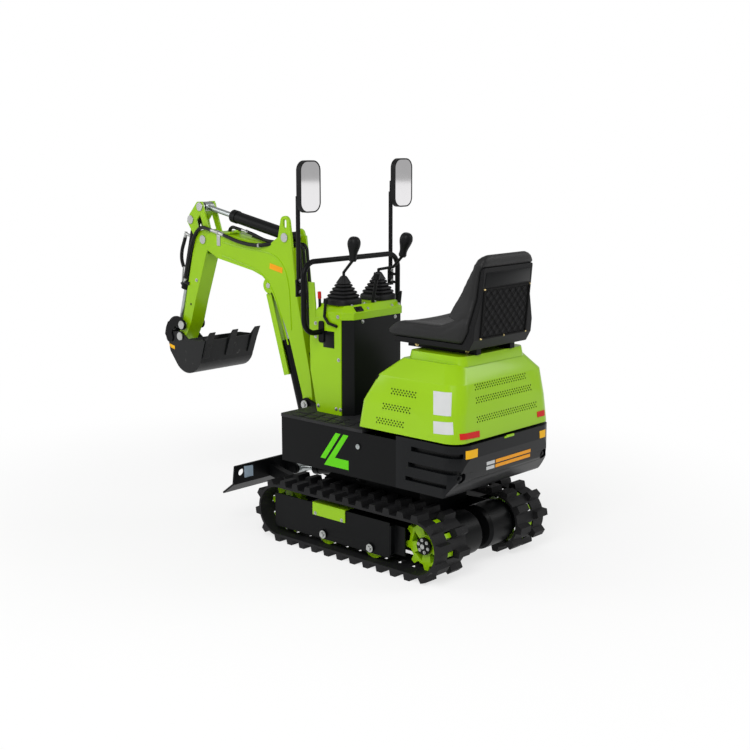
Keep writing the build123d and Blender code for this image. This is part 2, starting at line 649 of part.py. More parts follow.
def make_counterweight():
    """Cast counterweight: rounded tail whose underside rises to the rear, hollow towards the tub."""
    length = CAST_FRONT - TAIL
    with BuildPart() as cast:
        with BuildSketch(level(HOUSE_LOW)):
            with Locations((CAST_FRONT - length, 0)):
                Rectangle(2 * length, 2 * HOUSE_HALF, align=(Align.MIN, Align.CENTER))
        extrude(amount=TAIL_TOP - HOUSE_LOW)
        fillet(cast.edges().filter_by(Axis.Z).sort_by(Axis.X)[:2], TAIL_CORNER_R)
        split(bisect_by=Plane(origin=(SLEW_X + CAST_FRONT, 0, 0), x_dir=(0, 1, 0), z_dir=(-1, 0, 0)), keep=Keep.TOP)
        with BuildSketch(side(HOUSE_HALF + 1)):
            Polygon((TAIL - 1, 500), (TAIL + 24, 411), (TAIL + 66, 355), (TAIL + 76, HOUSE_LOW - 1),
                    (TAIL - 1, HOUSE_LOW - 1), align=None)
        extrude(amount=2 * HOUSE_HALF + 2, mode=Mode.SUBTRACT)
        with BuildSketch(level(HOUSE_LOW + TUB_FLOOR)):
            with Locations((CAST_FRONT, 0)):
                Rectangle(400, 2 * (HOUSE_HALF - TAIL_WALL))
        extrude(amount=300, mode=Mode.SUBTRACT)
        for z, height, front, rear in LOUVRES:
            with BuildSketch(level(z)) as slot:
                with Locations(((front + rear) / 2, HOUSE_HALF - 50), ((front + rear) / 2, 50 - HOUSE_HALF)):
                    Rectangle(front - rear, 104)
                add(tail_plan(LOUVRE_DEPTH), mode=Mode.SUBTRACT)
            extrude(amount=height, mode=Mode.SUBTRACT)
        recess_y, recess_z, recess_r = TAIL_RECESS
        with BuildSketch(across(TAIL - 1)):
            with Locations((recess_y, recess_z), (-recess_y, recess_z)):
                Circle(recess_r)
        extrude(amount=36, mode=Mode.SUBTRACT)
        with BuildSketch(across(TAIL + 26)):
            with Locations((recess_y, recess_z), (-recess_y, recess_z)):
                Circle(recess_r * 0.4)
        extrude(amount=12)
    return cast.part


def make_engine():
    """Engine and pump, closed inside the hood, as one plain block."""
    low = HOUSE_LOW + TUB_FLOOR
    with BuildPart() as engine:
        with BuildSketch(level(low)):
            with Locations((-270, 0)):
                Rectangle(300, HOUSE_HALF + 15)
        extrude(amount=HOOD_SHOULDER - ENGINE_ROOM - low)
        chamfer(engine.edges().group_by(Axis.Z)[-1], 30)
    return engine.part


def hood_ring(inset):
    """Plan sections of the hood from its lower edge to its top: (z, rear, front, half width)."""
    skirt = (HOOD_LOW + HOOD_SHOULDER) / 2
    return [
        (HOOD_LOW, TAIL + 11 + inset, -47 - inset, HOUSE_HALF + 1 - inset),
        (skirt, TAIL + 20 + inset, -63 - inset, HOUSE_HALF - 8 - inset),
        (HOOD_SHOULDER, TAIL + 34 + inset, -130 - inset, HOUSE_HALF - 23 - inset),
        (HOOD_TOP - inset, TAIL + 82 + inset, -206 - inset, HOUSE_HALF - 79 - inset),
    ]


def hood_body(inset):
    """The hood's outer or inner form, a ruled loft through its plan sections."""
    with BuildPart() as form:
        for z, rear, front, half in hood_ring(inset):
            with BuildSketch(level(z)) as plan:
                with Locations(((rear + front) / 2, 0)):
                    Rectangle(front - rear, 2 * half)
                fillet(plan.vertices().sort_by(Axis.X)[:2], HOOD_REAR_R - inset)
                fillet(plan.vertices().sort_by(Axis.X)[-2:], HOOD_FRONT_R - inset)
        loft(ruled=True)
    return form.part


def vent_places(middle, down, columns):
    """Places of one vent band's holes: three staggered rows, at a distance below the shoulder."""
    start = middle - VENT_PITCH * (columns - 1) / 2
    rows = [(0, 0.0), (1, VENT_PITCH / 2), (2, 0.0)]
    top = HOOD_SHOULDER - down + VENT_ROW
    return [(start + shift + VENT_PITCH * column, top - VENT_ROW * row)
            for row, shift in rows for column in range(columns - (shift > 0))]


def make_hood():
    """Engine hood: a moulded shell with a shoulder, a raised seat base and its hinge lugs."""
    outer = hood_body(0)
    inner = hood_body(HOOD_SHELL)
    base_rear, base_front, base_half = SEAT_BASE
    hinge_x, hinge_z = HOOD_HINGE
    with BuildPart() as hood:
        add(outer)
        with BuildSketch(level(HOOD_TOP - 10)):
            with Locations(((base_rear + base_front) / 2, 0)):
                RectangleRounded(base_front - base_rear, 2 * base_half, 40)
        extrude(amount=SEAT_BASE_TOP - HOOD_TOP + 10, taper=12)
        add(inner, mode=Mode.SUBTRACT)
        for y in (146, -140):
            with BuildSketch(side(y)):
                Polygon((hinge_x - 12, hinge_z - 8), (hinge_x + 8, hinge_z - 8), (hinge_x + 13, hinge_z + 22),
                        (hinge_x - 12, hinge_z + 22), align=None)
                with Locations(HOOD_HINGE):
                    Circle(5 + PIN_GAP, mode=Mode.SUBTRACT)
            extrude(amount=6)
        for middle, down, columns in SIDE_VENTS:
            for y in (HOUSE_HALF + 2, 38 - HOUSE_HALF):
                with BuildSketch(side(y)):
                    with Locations(*vent_places(middle, down, columns)):
                        Rectangle(VENT_HOLE, VENT_HOLE, rotation=45)
                extrude(amount=40, mode=Mode.SUBTRACT)
        for middle, down, columns in REAR_VENTS:
            with BuildSketch(across(TAIL)):
                with Locations(*vent_places(middle, down, columns)):
                    Rectangle(VENT_HOLE, VENT_HOLE, rotation=45)
            extrude(amount=50, mode=Mode.SUBTRACT)
    return hood.part


def make_hood_hinge():
    """Hinge pins and their pedestals on the deck, inside the hood's front edge."""
    with BuildPart() as hinge:
        for middle in (143, -143):
            for y in (middle + 4 + 6, middle - 4):
                with BuildSketch(side(y)):
                    Polygon((HOOD_HINGE[0] - 11, DECK_TOP), (HOOD_HINGE[0] + 8, DECK_TOP),
                            (HOOD_HINGE[0] + 8, HOOD_HINGE[1] + 4), (HOOD_HINGE[0] - 11, HOOD_HINGE[1] + 4),
                            align=None)
                extrude(amount=6)
            with BuildSketch(side(middle + 10)):
                with Locations(HOOD_HINGE):
                    Circle(5)
            extrude(amount=20)
    return hinge.part


def make_seat_rails():
    """Two slide rails that carry the seat on the hood."""
    rear = SEAT_BASE[0]
    with BuildPart() as rails:
        for y in (120, -92):
            with BuildSketch(side(y)):
                Polygon((rear, SEAT_BASE_TOP), (-150, SEAT_BASE_TOP), (-150, SEAT_BASE_TOP + 10),
                        (-132, SEAT_LOW), (rear, SEAT_LOW), align=None)
            extrude(amount=28)
    return rails.part


def seat_profile(points):
    """Side profile of a seat piece from its heights above the rails."""
    return [(x, SEAT_LOW + rise) for x, rise in points]


def seat_trim(shrink):
    """Bar whose section is the seat seen from ahead: narrower and rounded at the top of the back."""
    pan, back = SEAT_HALF - shrink, SEAT_BACK_HALF - shrink
    top = SEAT_LOW + SEAT_BACK_RISE - shrink
    with BuildPart() as bar:
        with BuildSketch(across(SEAT_FRONT + 60)) as front:
            Polygon((-pan, SEAT_LOW - 1), (pan, SEAT_LOW - 1), (pan, SEAT_LOW + 90), (back, SEAT_LOW + 190),
                    (back, top), (-back, top), (-back, SEAT_LOW + 190), (-pan, SEAT_LOW + 90), align=None)
            fillet(front.vertices().group_by(Axis.Y)[-1], SEAT_TOP_R - shrink)
        extrude(amount=-600)
    return bar.part


def make_seat_shell():
    """Moulded shell under and behind the cushion."""
    profile = seat_profile([(-130, 0), (-500, 0), (-522, 40), (-546, 310), (-530, 310), (-498, 70), (-470, 22),
                            (-130, 22)])
    with BuildPart() as shell:
        with BuildSketch(side(SEAT_HALF)):
            Polygon(*profile, align=None)
        extrude(amount=2 * SEAT_HALF)
        add(seat_trim(12), mode=Mode.INTERSECT)
    return shell.part


def make_seat_cushion():
    """Padded seat and back in one closed form."""
    profile = seat_profile([(SEAT_FRONT, 50), (SEAT_FRONT, 35), (-126, 22.3), (-469, 22.3), (-497, 70), (-529, 310),
                            (-545.3, 310), (-548, 350), (-530, 360), (-505, 346), (-470, 210), (-430, 110),
                            (-360, 85), (-150, 82)])
    with BuildPart() as cushion:
        with BuildSketch(side(SEAT_HALF)):
            Polygon(*profile, align=None)
        extrude(amount=2 * SEAT_HALF)
        add(seat_trim(0), mode=Mode.INTERSECT)
    return cushion.part


def console_plan(grow, rear_gap=0.0):
    """Console outline with its two cut rear corners."""
    half = CONSOLE_HALF + grow
    rear = CONSOLE_REAR - rear_gap
    return [(CONSOLE_FRONT, -half), (CONSOLE_FRONT, half), (rear + CONSOLE_CORNER, half),
            (rear, half - CONSOLE_CORNER), (rear, CONSOLE_CORNER - half), (rear + CONSOLE_CORNER, -half)]


def make_console():
    """Black console housing."""
    with BuildPart() as console:
        with BuildSketch(level(DECK_TOP)):
            Polygon(*console_plan(0), align=None)
        extrude(amount=CONSOLE_TOP - DECK_TOP)
    return console.part


def make_console_covers():
    """Green side plates and the chamfered cap of the console."""
    with BuildPart() as cap:
        with BuildSketch(level(CONSOLE_TOP)):
            Polygon(*console_plan(PLATE, 2.0), align=None)
        extrude(amount=CAP_TOP - CONSOLE_TOP)
        chamfer(cap.edges().group_by(Axis.Z)[-1].sort_by(Axis.X)[:-1], 27)
    with BuildPart() as left:
        with BuildSketch(side(CONSOLE_HALF + PLATE)):
            Polygon((158, DECK_TOP), (298, DECK_TOP), (318, 640), (335, 716), (343, 1085), (311, 1085),
                    (CONSOLE_FRONT + 2, 985), (CONSOLE_FRONT + 2, CONSOLE_TOP), (158, CONSOLE_TOP), align=None)
        extrude(amount=PLATE)
    with BuildPart() as right:
        with BuildSketch(side(-CONSOLE_HALF)):
            Polygon((158, DECK_TOP), (298, DECK_TOP), (318, 640), (335, 716), (340, CONSOLE_TOP),
                    (158, CONSOLE_TOP), align=None)
        extrude(amount=PLATE)
    return cap.part, left.part, right.part


def make_gaiter(y):
    """Bellows boot round a joystick: a tall foot, four folds and a cone."""
    x = GAITER[0]
    folds = [(128.0, 27.0, 8.0), (110.0, 14.0, 24.0), (94.0, 14.0, 24.0), (78.0, 14.0, 24.0), (62.0, 14.0, 24.0)]
    with BuildPart() as gaiter:
        z = CAP_TOP
        for size, height, slope in folds:
            with BuildSketch(level(z)):
                with Locations((x, y)):
                    RectangleRounded(size, size, size * 0.2)
            extrude(amount=height, taper=slope)
            z += height
        with BuildSketch(level(z)):
            with Locations((x - 4, y)):
                Circle(22)
        extrude(amount=32, taper=22)
    return gaiter.part


def make_grip(foot, head):
    """Pear-shaped grip from its foot to its head, both (x, y, z)."""
    start = Vector(SLEW_X + foot[0], foot[1], foot[2])
    run = Vector(SLEW_X + head[0], head[1], head[2]) - start
    length = run.length
    across_dir = Vector(0, 1, 0)
    with BuildPart() as grip:
        with BuildSketch(Plane(origin=start, x_dir=across_dir, z_dir=across_dir.cross(run).normalized())):
            with BuildLine():
                Polyline((0, 0), (14, 0), (17, 8))
                Spline((17, 8), (20, length * 0.42), (27, length * 0.76), (20, length * 0.94), (0, length))
                Line((0, length), (0, 0))
            make_face()
        revolve(axis=Axis(start, run))
    return grip.part


def make_stick(points, radius):
    """A straight-run lever through the given points."""
    with BuildPart() as stick:
        with BuildLine() as line:
            Polyline(*[(SLEW_X + x, y, z) for x, y, z in points])
        with BuildSketch(Plane(origin=line.line @ 0, z_dir=line.line % 0)):
            Circle(radius)
        sweep(transition=Transition.ROUND)
    return stick.part


def make_levers():
    """Joysticks with their grips, the small levers on the cap and the bent lever on the left side."""
    top = CAP_TOP + 115
    left_stick = make_stick([(214, 106, top), (214, 106, top + 14), (162, 106, 1180)], 6)
    left_grip = make_grip((164, 106, 1176), (152, 106, 1276))
    right_stick = make_stick([(214, -106, top), (214, -106, top + 10), (130, -106, 1140), (78, -106, 1190)], 6)
    right_grip = make_grip((82, -106, 1186), (52, -106, 1284))
    centre = make_stick([(150, 0, CAP_TOP + 2), (128, 0, 1106)], 7)
    centre_knob = make_stick([(130, 0, 1098), (125, 0, 1122)], 14)
    side_lever = make_stick([(237, 189.5, 1011), (245, 189.5, 950), (222, 189.5, 925), (175, 189.5, 916)], 6)
    side_knob = make_stick([(235, 190, 1024), (238, 190, 1006)], 9)
    red_lever = make_stick([(293, 166, 978), (293, 169, 1046)], 6)
    right_knob = make_stick([(138, -150, 976), (132, -152, 1034)], 8)
    return (left_stick + left_grip, right_stick + right_grip, centre + centre_knob, side_lever + side_knob,
            red_lever, right_knob)


def make_guard_rail():
    """Bent tube guard in front of the operator, from one console side to the other."""
    foot = CONSOLE_HALF + PLATE
    with BuildPart() as rail:
        with BuildLine() as line:
            FilletPolyline((SLEW_X + RAIL_X, foot, RAIL_LOW), (SLEW_X + RAIL_X, RAIL_Y, RAIL_LOW),
                           (SLEW_X + RAIL_X, RAIL_Y, RAIL_TOP), (SLEW_X + RAIL_X, -RAIL_Y, RAIL_TOP),
                           (SLEW_X + RAIL_X, -RAIL_Y, RAIL_LOW), (SLEW_X + RAIL_X, -foot, RAIL_LOW),
                           radius=RAIL_BEND)
        with BuildSketch(Plane(origin=line.line @ 0, z_dir=line.line % 0)):
            Circle(RAIL_R)
        sweep()
        for y, way in ((foot, 1), (-foot - 6, 1)):
            with BuildSketch(Plane(origin=(SLEW_X + RAIL_X, y, RAIL_LOW), x_dir=(1, 0, 0), z_dir=(0, 1, 0))):
                RectangleRounded(30, 90, 10)
            extrude(amount=6)
    return rail.part


def make_mirror_post():
    """Left mirror post, its clamp on the rail and the mirror's housing."""
    x, y = MIRROR_POST
    with BuildPart() as post:
        with BuildSketch(level(1036)):
            with Locations((x, y)):
                Rectangle(8, 30)
        extrude(amount=70)
        with BuildSketch(level(1100)):
            with Locations((x, y)):
                Circle(9)
        extrude(amount=MIRROR_Z - MIRROR_NECK - 1100)
        with BuildSketch(level(MIRROR_Z - MIRROR_NECK)):
            with Locations((x, y)):
                Circle(5)
        extrude(amount=MIRROR_NECK + 6)
        for z in (1050, 1085):
            with BuildSketch(across(RAIL_X)):
                with Locations((y, z)):
                    Circle(6)
            extrude(amount=x - RAIL_X)
        with BuildSketch(across(x - 52)):
            with Locations((y, MIRROR_Z)):
                Circle(7)
        extrude(amount=52)
        with BuildSketch(across(x - 74)):
            with Locations((y, MIRROR_Z)):
                RectangleRounded(MIRROR_WIDTH, MIRROR_HEIGHT, 40)
        extrude(amount=24)
        with BuildSketch(across(x - 75)):
            with Locations((y, MIRROR_Z)):
                RectangleRounded(MIRROR_WIDTH - 10, MIRROR_HEIGHT - 10, 35)
        extrude(amount=4, mode=Mode.SUBTRACT)
    return post.part


def make_mirror_glass():
    """Left mirror's glass in its housing."""
    x, y = MIRROR_POST
    with BuildPart() as glass:
        with BuildSketch(across(x - 73)):
            with Locations((y, MIRROR_Z)):
                RectangleRounded(MIRROR_WIDTH - 11, MIRROR_HEIGHT - 11, 34.5)
        extrude(amount=2)
    return glass.part


def boom_line():
    """Side view of the boom, from the back of its foot over its top to its tip and back along the belly."""
    foot_x, foot_z = BOOM_FOOT
    return [
        (foot_x - FOOT_R, foot_z), (471, 651), (556, 1021), (577, 1200), (729, 1200), (1046, 1249), (1100, 1246),
        (1140, 1228), (1140, 1160), (1062, 1125), (830, 1086), (753, 1062), (703, 993), (625, 860), (596, 792),
        (foot_x + 34, 560), (foot_x + FOOT_R, foot_z),
    ]


def make_boom():
    """Bent boom box with its ears, the cylinder's side plates, the foot and the tongue at its tip."""
    tip_x, tip_z = ARM_PIVOT
    base_x, base_z = ARM_CYLINDER_BASE
    eye_x, eye_z = LIFT_EYE
    with BuildPart() as boom:
        with BuildSketch(side(BOOM_HALF)):
            Polygon(*boom_line(), align=None)
            with Locations(BOOM_FOOT):
                Circle(FOOT_R)
                Circle(PIN_R + 4 + PIN_GAP, mode=Mode.SUBTRACT)
            with Locations(BOOM_ROD_PIN):
                Circle(ROD_LUG_R)
        extrude(amount=2 * BOOM_HALF)
        with BuildSketch(side(NOTCH_HALF)):
            Polygon((585, 850), (668, 1010), (698, 1062), (795, 1062), (795, 850), align=None)
            with Locations(BOOM_ROD_PIN):
                Circle(EYE_R + 24)
        extrude(amount=2 * NOTCH_HALF, mode=Mode.SUBTRACT)
        with BuildSketch(side(BOOM_HALF - TIP_PLATE)):
            Polygon((1056, 1260), (1078, 1215), (1078, 1100), (1200, 1100), (1200, 1260), align=None)
        extrude(amount=2 * (BOOM_HALF - TIP_PLATE), mode=Mode.SUBTRACT)
        with BuildSketch(side(TONGUE_HALF)):
            with Locations(ARM_PIVOT):
                Circle(TONGUE_R)
            Polygon((1070, 1228), (1070, 1160), (tip_x, tip_z - TONGUE_R), (tip_x, tip_z + TONGUE_R), align=None)
            with Locations(ARM_PIVOT):
                Circle(PIN_R + PIN_GAP, mode=Mode.SUBTRACT)
        extrude(amount=2 * TONGUE_HALF)
        for y, top in ((BOOM_HALF, eye_z + 34), (-BOOM_HALF + 12, base_z + 34)):
            with BuildSketch(side(y)):
                Polygon((577, 1195), (735, 1195), (729, 1202), (663, 1244), (648, top - 28), (592, top - 28),
                        (583, 1248), align=None)
                with Locations((620, top - 28)):
                    Circle(28)
                if top > base_z + 50:
                    with Locations((eye_x, eye_z)):
                        SlotOverall(40, 22, rotation=90, mode=Mode.SUBTRACT)
            extrude(amount=12)
        with BuildSketch(side(EYE_HALF + 1)):
            with Locations((base_x, base_z)):
                Circle(EYE_R + 7)
        extrude(amount=2 * EYE_HALF + 2, mode=Mode.SUBTRACT)
    return boom.part


def make_boom_hoses():
    """Three hoses that lie along the back of the boom, held by two clamps."""
    route = [(640, 1207.5), (604, 1213), (572, 1213), (556, 1190), (541, 1021), (501, 850), (457, 651), (446, 612)]
    hoses = []
    for y in (-22, 0, 22):
        with BuildPart() as hose:
            with BuildLine() as line:
                FilletPolyline(*[(SLEW_X + x, y, z) for x, z in route], radius=20)
            with BuildSketch(Plane(origin=line.line @ 0, z_dir=line.line % 0)):
                Circle(HOSE_R)
            sweep()
        hoses.append(hose.part)
    with BuildPart() as clamps:
        for x, z in ((534, 950), (487, 740)):
            with BuildSketch(side(34)):
                with Locations((x, z)):
                    Rectangle(30, 26, rotation=-13)
            extrude(amount=68)
    return [hose - clamps.part for hose in hoses] + [clamps.part]


def pin_stubs(point, inner, outer, radius=PIN_R):
    """Two short pins at a point, one each side, from inner to outer."""
    with BuildPart() as stubs:
        for y in (outer, -inner):
            with BuildSketch(side(y)):
                with Locations(point):
                    Circle(radius)
            extrude(amount=outer - inner)
    return stubs.part


def through_pin(point, half, radius=PIN_R):
    """A pin right through at a point, with a washer at each end."""
    with BuildPart() as pin:
        with BuildSketch(side(half)):
            with Locations(point):
                Circle(radius)
        extrude(amount=2 * half)
        for y in (half + 5, -half):
            with BuildSketch(side(y)):
                with Locations(point):
                    Circle(WASHER_R)
            extrude(amount=5)
    return pin.part


def make_arm():
    """Arm: the box, its fork round the boom's tongue and the two frames that carry the cylinders' pins."""
    tip_x, tip_z = BUCKET_PIVOT
    top_x, top_z = ARM_PIVOT
    with BuildPart() as arm:
        with BuildSketch(side(ARM_HALF)):
            Polygon((1220, 1232), (1253, 1142), (1308, 934), (1335, 826), (1345, 790), (tip_x + 25, tip_z + 6),
                    (tip_x - 10, tip_z - 20), (tip_x - 23, tip_z - 12), (1278, 809), (1242, 917), (1150, 1159),
                    (1143, 1180), (1143, 1232), align=None)
            with Locations(BUCKET_PIVOT):
                Circle(26)
                Circle(PIN_R + PIN_GAP, mode=Mode.SUBTRACT)
            with Locations(ARM_PIVOT):
                Circle(PIN_R, mode=Mode.SUBTRACT)
        extrude(amount=2 * ARM_HALF)
        with BuildSketch(side(ARM_HALF - ARM_PLATE)):
            with Locations(ARM_PIVOT):
                Circle(ARM_SLOT_R)
            Polygon((top_x + 25, top_z - 30), (1085, 1076), (1050, 1076), (1050, 1330), (1128, 1330),
                    (top_x + 31, top_z + 24), align=None)
        extrude(amount=2 * (ARM_HALF - ARM_PLATE), mode=Mode.SUBTRACT)
        for y in (ARM_HALF, ARM_PLATE - ARM_HALF):
            with BuildSketch(side(y)):
                Polygon((1128, 1232), (1150, 1200), (1220, 1232), (1246, 1222), (1290, 1284), (1270, 1318),
                        (1216, 1376), (1180, 1378), align=None)
                Polygon((1168, 1250), (1210, 1244), (1222, 1290), (1196, 1318), align=None, mode=Mode.SUBTRACT)
            extrude(amount=ARM_PLATE)
    return arm.part


def make_guide_link():
    """Two arched guide plates from the arm to the link pin, each with its pin stub."""
    low, high = GUIDE_LAYER
    guide_x, guide_z = GUIDE_PIN
    link_x, link_z = LINK_PIN
    with BuildPart() as guide:
        for y in (high, -low):
            with BuildSketch(side(y)):
                with BuildLine():
                    ThreePointArc((guide_x - 4, guide_z + 26), ((guide_x + link_x) / 2 + 8, guide_z + 38),
                                  (link_x + 26, link_z - 2))
                    Line((link_x + 26, link_z - 2), (link_x - 2, link_z - 24))
                    ThreePointArc((link_x - 2, link_z - 24), ((guide_x + link_x) / 2, guide_z - 10),
                                  (guide_x + 4, guide_z - 24))
                    Line((guide_x + 4, guide_z - 24), (guide_x - 4, guide_z + 26))
                make_face()
                with Locations(GUIDE_PIN):
                    Circle(26)
                with Locations(LINK_PIN):
                    Circle(24)
                with Locations(GUIDE_PIN):
                    Circle(PIN_R + PIN_GAP, mode=Mode.SUBTRACT)
            extrude(amount=high - low)
        for y in (low + 1, -(EYE_HALF + 5)):
            with BuildSketch(side(y)):
                with Locations(LINK_PIN):
                    Circle(PIN_R)
            extrude(amount=low + 1 - EYE_HALF - 5)
    return guide.part


def make_bucket_link():
    """Curved link between the link pin and the bucket: two cheeks joined round the outside."""
    low, high = LINK_LAYER
    run = Vector(BUCKET_PIN[0] - LINK_PIN[0], BUCKET_PIN[1] - LINK_PIN[1])
    out = Vector(-run.Y, run.X).normalized()
    top, bottom, middle = Vector(*LINK_PIN), Vector(*BUCKET_PIN), Vector(*LINK_PIN) + run * 0.5
    with BuildPart() as link:
        for y in (high, -low):
            with BuildSketch(side(y)):
                with Locations(LINK_PIN, BUCKET_PIN):
                    Circle(24)
                Polygon(*[(p.X, p.Y) for p in (
                    top - out * 18, top - run * 0.2 + out * 16, top + out * 36, middle + out * 40,
                    bottom + out * 36, bottom + run * 0.2 + out * 16, bottom - out * 18, middle - out * 6)],
                    align=None)
                with Locations(LINK_PIN):
                    Circle(PIN_R + PIN_GAP, mode=Mode.SUBTRACT)
            extrude(amount=high - low)
        with BuildSketch(side(low + 1)):
            Polygon(*[(p.X, p.Y) for p in (
                middle + out * 31, bottom + out * 28, bottom + out * 35, middle + out * 39)], align=None)
        extrude(amount=2 * low + 2)
        with BuildSketch(side(high)):
            with Locations(BUCKET_PIN):
                Circle(PIN_R)
        extrude(amount=high - low + 10)
        with BuildSketch(side(-low + 10)):
            with Locations(BUCKET_PIN):
                Circle(PIN_R)
        extrude(amount=high - low + 10)
    return link.part


def bucket_sheet_line():
    """Middle line of the bucket's sheet in side view: the lip, the round bottom and the back up to the ears."""
    Line((1042, 757), (1078, 652))
    ThreePointArc((1078, 652), (1150, 599), (1241, 632))
    return Polyline((1241, 632), (1287, 688), (1296, 727))


def make_bucket():
    """Bucket: curved sheet, side plates, ears for its two pins and three teeth."""
    ear_low, ear_high = EAR_LAYER
    with BuildPart() as bucket:
        with BuildSketch(side(BUCKET_HALF)):
            with BuildLine():
                bucket_sheet_line()
            trace(line_width=BUCKET_SHEET)
        extrude(amount=2 * BUCKET_HALF)
        for y in (BUCKET_HALF, -BUCKET_HALF + BUCKET_SHEET):
            with BuildSketch(side(y)):
                with BuildLine():
                    bucket_sheet_line()
                    Polyline((1296, 727), (1161, 753), (1042, 757))
                make_face()
            extrude(amount=BUCKET_SHEET)
        for y in (ear_high, -ear_low):
            with BuildSketch(side(y)):
                with Locations(BUCKET_PIVOT, BUCKET_PIN):
                    Circle(24)
                Polygon((1230, 640), (1282, 681), (1350, 692), (BUCKET_PIN[0] + 4, BUCKET_PIN[1] - 23),
                        (BUCKET_PIN[0] + 2, BUCKET_PIN[1] + 24), (BUCKET_PIVOT[0] + 2, BUCKET_PIVOT[1] + 24),
                        (BUCKET_PIVOT[0] - 14, BUCKET_PIVOT[1] + 19), (1292, 722), align=None)
                with Locations(BUCKET_PIVOT):
                    Circle(PIN_R + PIN_GAP, mode=Mode.SUBTRACT)
                with Locations(BUCKET_PIN):
                    Circle(PIN_R + 1, mode=Mode.SUBTRACT)
            extrude(amount=ear_high - ear_low)
    with BuildPart() as teeth:
        for y in (-TOOTH_Y, 0, TOOTH_Y):
            with BuildSketch(side(y + TOOTH_WIDTH / 2)):
                Polygon((1009, 799), (1034, 744), (1062, 672), (1073, 676), (1048, 756), align=None)
            extrude(amount=TOOTH_WIDTH)
    return bucket.part, teeth.part


os.makedirs("parts", exist_ok=True)

track = make_track()
save("track_left", track)
save("track_right", mirrored(track))
sprocket = make_wheel(SPROCKET_X, -90, False)
save("drive_sprockets", sprocket, mirrored(sprocket))
idler = make_wheel(IDLER_X, 90, True)
save("idler_wheels", idler, mirrored(idler))
rollers = [make_roller(x) for x in (-ROLLER_SPACING / 2, ROLLER_SPACING / 2)]
save("bottom_rollers", *rollers, *[mirrored(roller) for roller in rollers])
track_frame = make_track_frame()
save("track_frame_left", track_frame)
save("track_frame_right", mirrored(track_frame))
cover = make_frame_cover()
save("frame_covers", cover, mirrored(cover))
motor = make_travel_motor()
save("travel_motors", motor, mirrored(motor))
save("car_body", make_car_body())
save("dozer_blade", make_blade())
save("blade_barrel", make_barrel(BLADE_CYLINDER_BASE, BLADE_ROD_PIN, BLADE_CYLINDER))
save("blade_rod", make_rod(BLADE_CYLINDER_BASE, BLADE_ROD_PIN, BLADE_CYLINDER, 80))

save("house_frame", make_house_frame())
save("foot_mat", make_foot_mat())
save("counterweight", make_counterweight())
save("engine", make_engine())
save("hood", make_hood())
save("hood_hinge", make_hood_hinge())
save("seat_rails", make_seat_rails())
save("seat_shell", make_seat_shell())
save("seat_cushion", make_seat_cushion())
save("console", make_console())
covers = make_console_covers()
save("console_covers", *covers)
save("lever_gaiters", make_gaiter(GAITER[1]), make_gaiter(-GAITER[1]))
save("control_levers", *[lever - covers[0] for lever in make_levers()])
rail = make_guard_rail()
save("guard_rail", rail)
post = make_mirror_post() - rail
save("mirrors", post, mirrored(post))
glass = make_mirror_glass()
save("mirror_glasses", glass, mirrored(glass))

rod_stubs = pin_stubs(BOOM_ROD_PIN, EYE_HALF + 3, BOOM_HALF + 4)
base_pin = through_pin(ARM_CYLINDER_BASE, BOOM_HALF)
boom = make_boom() - rod_stubs - base_pin
save("boom", boom)
save("boom_pins", rod_stubs, base_pin)
save("boom_hoses", *[piece - boom for piece in make_boom_hoses()])
save("boom_barrel", make_barrel(BOOM_CYLINDER_BASE, BOOM_ROD_PIN, BOOM_CYLINDER))
save("boom_rod", make_rod(BOOM_CYLINDER_BASE, BOOM_ROD_PIN, BOOM_CYLINDER, 110))
save("rod_guard", make_rod_guard())
save("arm_barrel", make_barrel(ARM_CYLINDER_BASE, ARM_ROD_PIN, ARM_CYLINDER))
save("arm_rod", make_rod(ARM_CYLINDER_BASE, ARM_ROD_PIN, ARM_CYLINDER, 110))
arm_pins = [
    through_pin(ARM_PIVOT, ARM_HALF), through_pin(BUCKET_PIVOT, EAR_LAYER[1] + 1),
    through_pin(BUCKET_CYLINDER_BASE, ARM_HALF), pin_stubs(ARM_ROD_PIN, EYE_HALF + 5, ARM_HALF + 5, WASHER_R),
    through_pin(GUIDE_PIN, GUIDE_LAYER[1] + 1),
]
save("arm", make_arm() - arm_pins)
save("arm_pins", *arm_pins)
save("bucket_barrel", make_barrel(BUCKET_CYLINDER_BASE, LINK_PIN, BUCKET_CYLINDER))
save("bucket_rod", make_rod(BUCKET_CYLINDER_BASE, LINK_PIN, BUCKET_CYLINDER, 90))
save("guide_link", make_guide_link())
save("bucket_link", make_bucket_link())
bucket, teeth = make_bucket()
save("bucket", bucket - teeth)
save("bucket_teeth", teeth)
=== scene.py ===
"""Looks of the mini excavator: its finishes, its modelled pieces, the studio and the camera."""
from __future__ import annotations

import json
import logging
import math
from dataclasses import dataclass
from enum import Enum
from typing import Iterable, Sequence

import bmesh
import bpy
from mathutils import Matrix, Vector
from mathutils.bvhtree import BVHTree


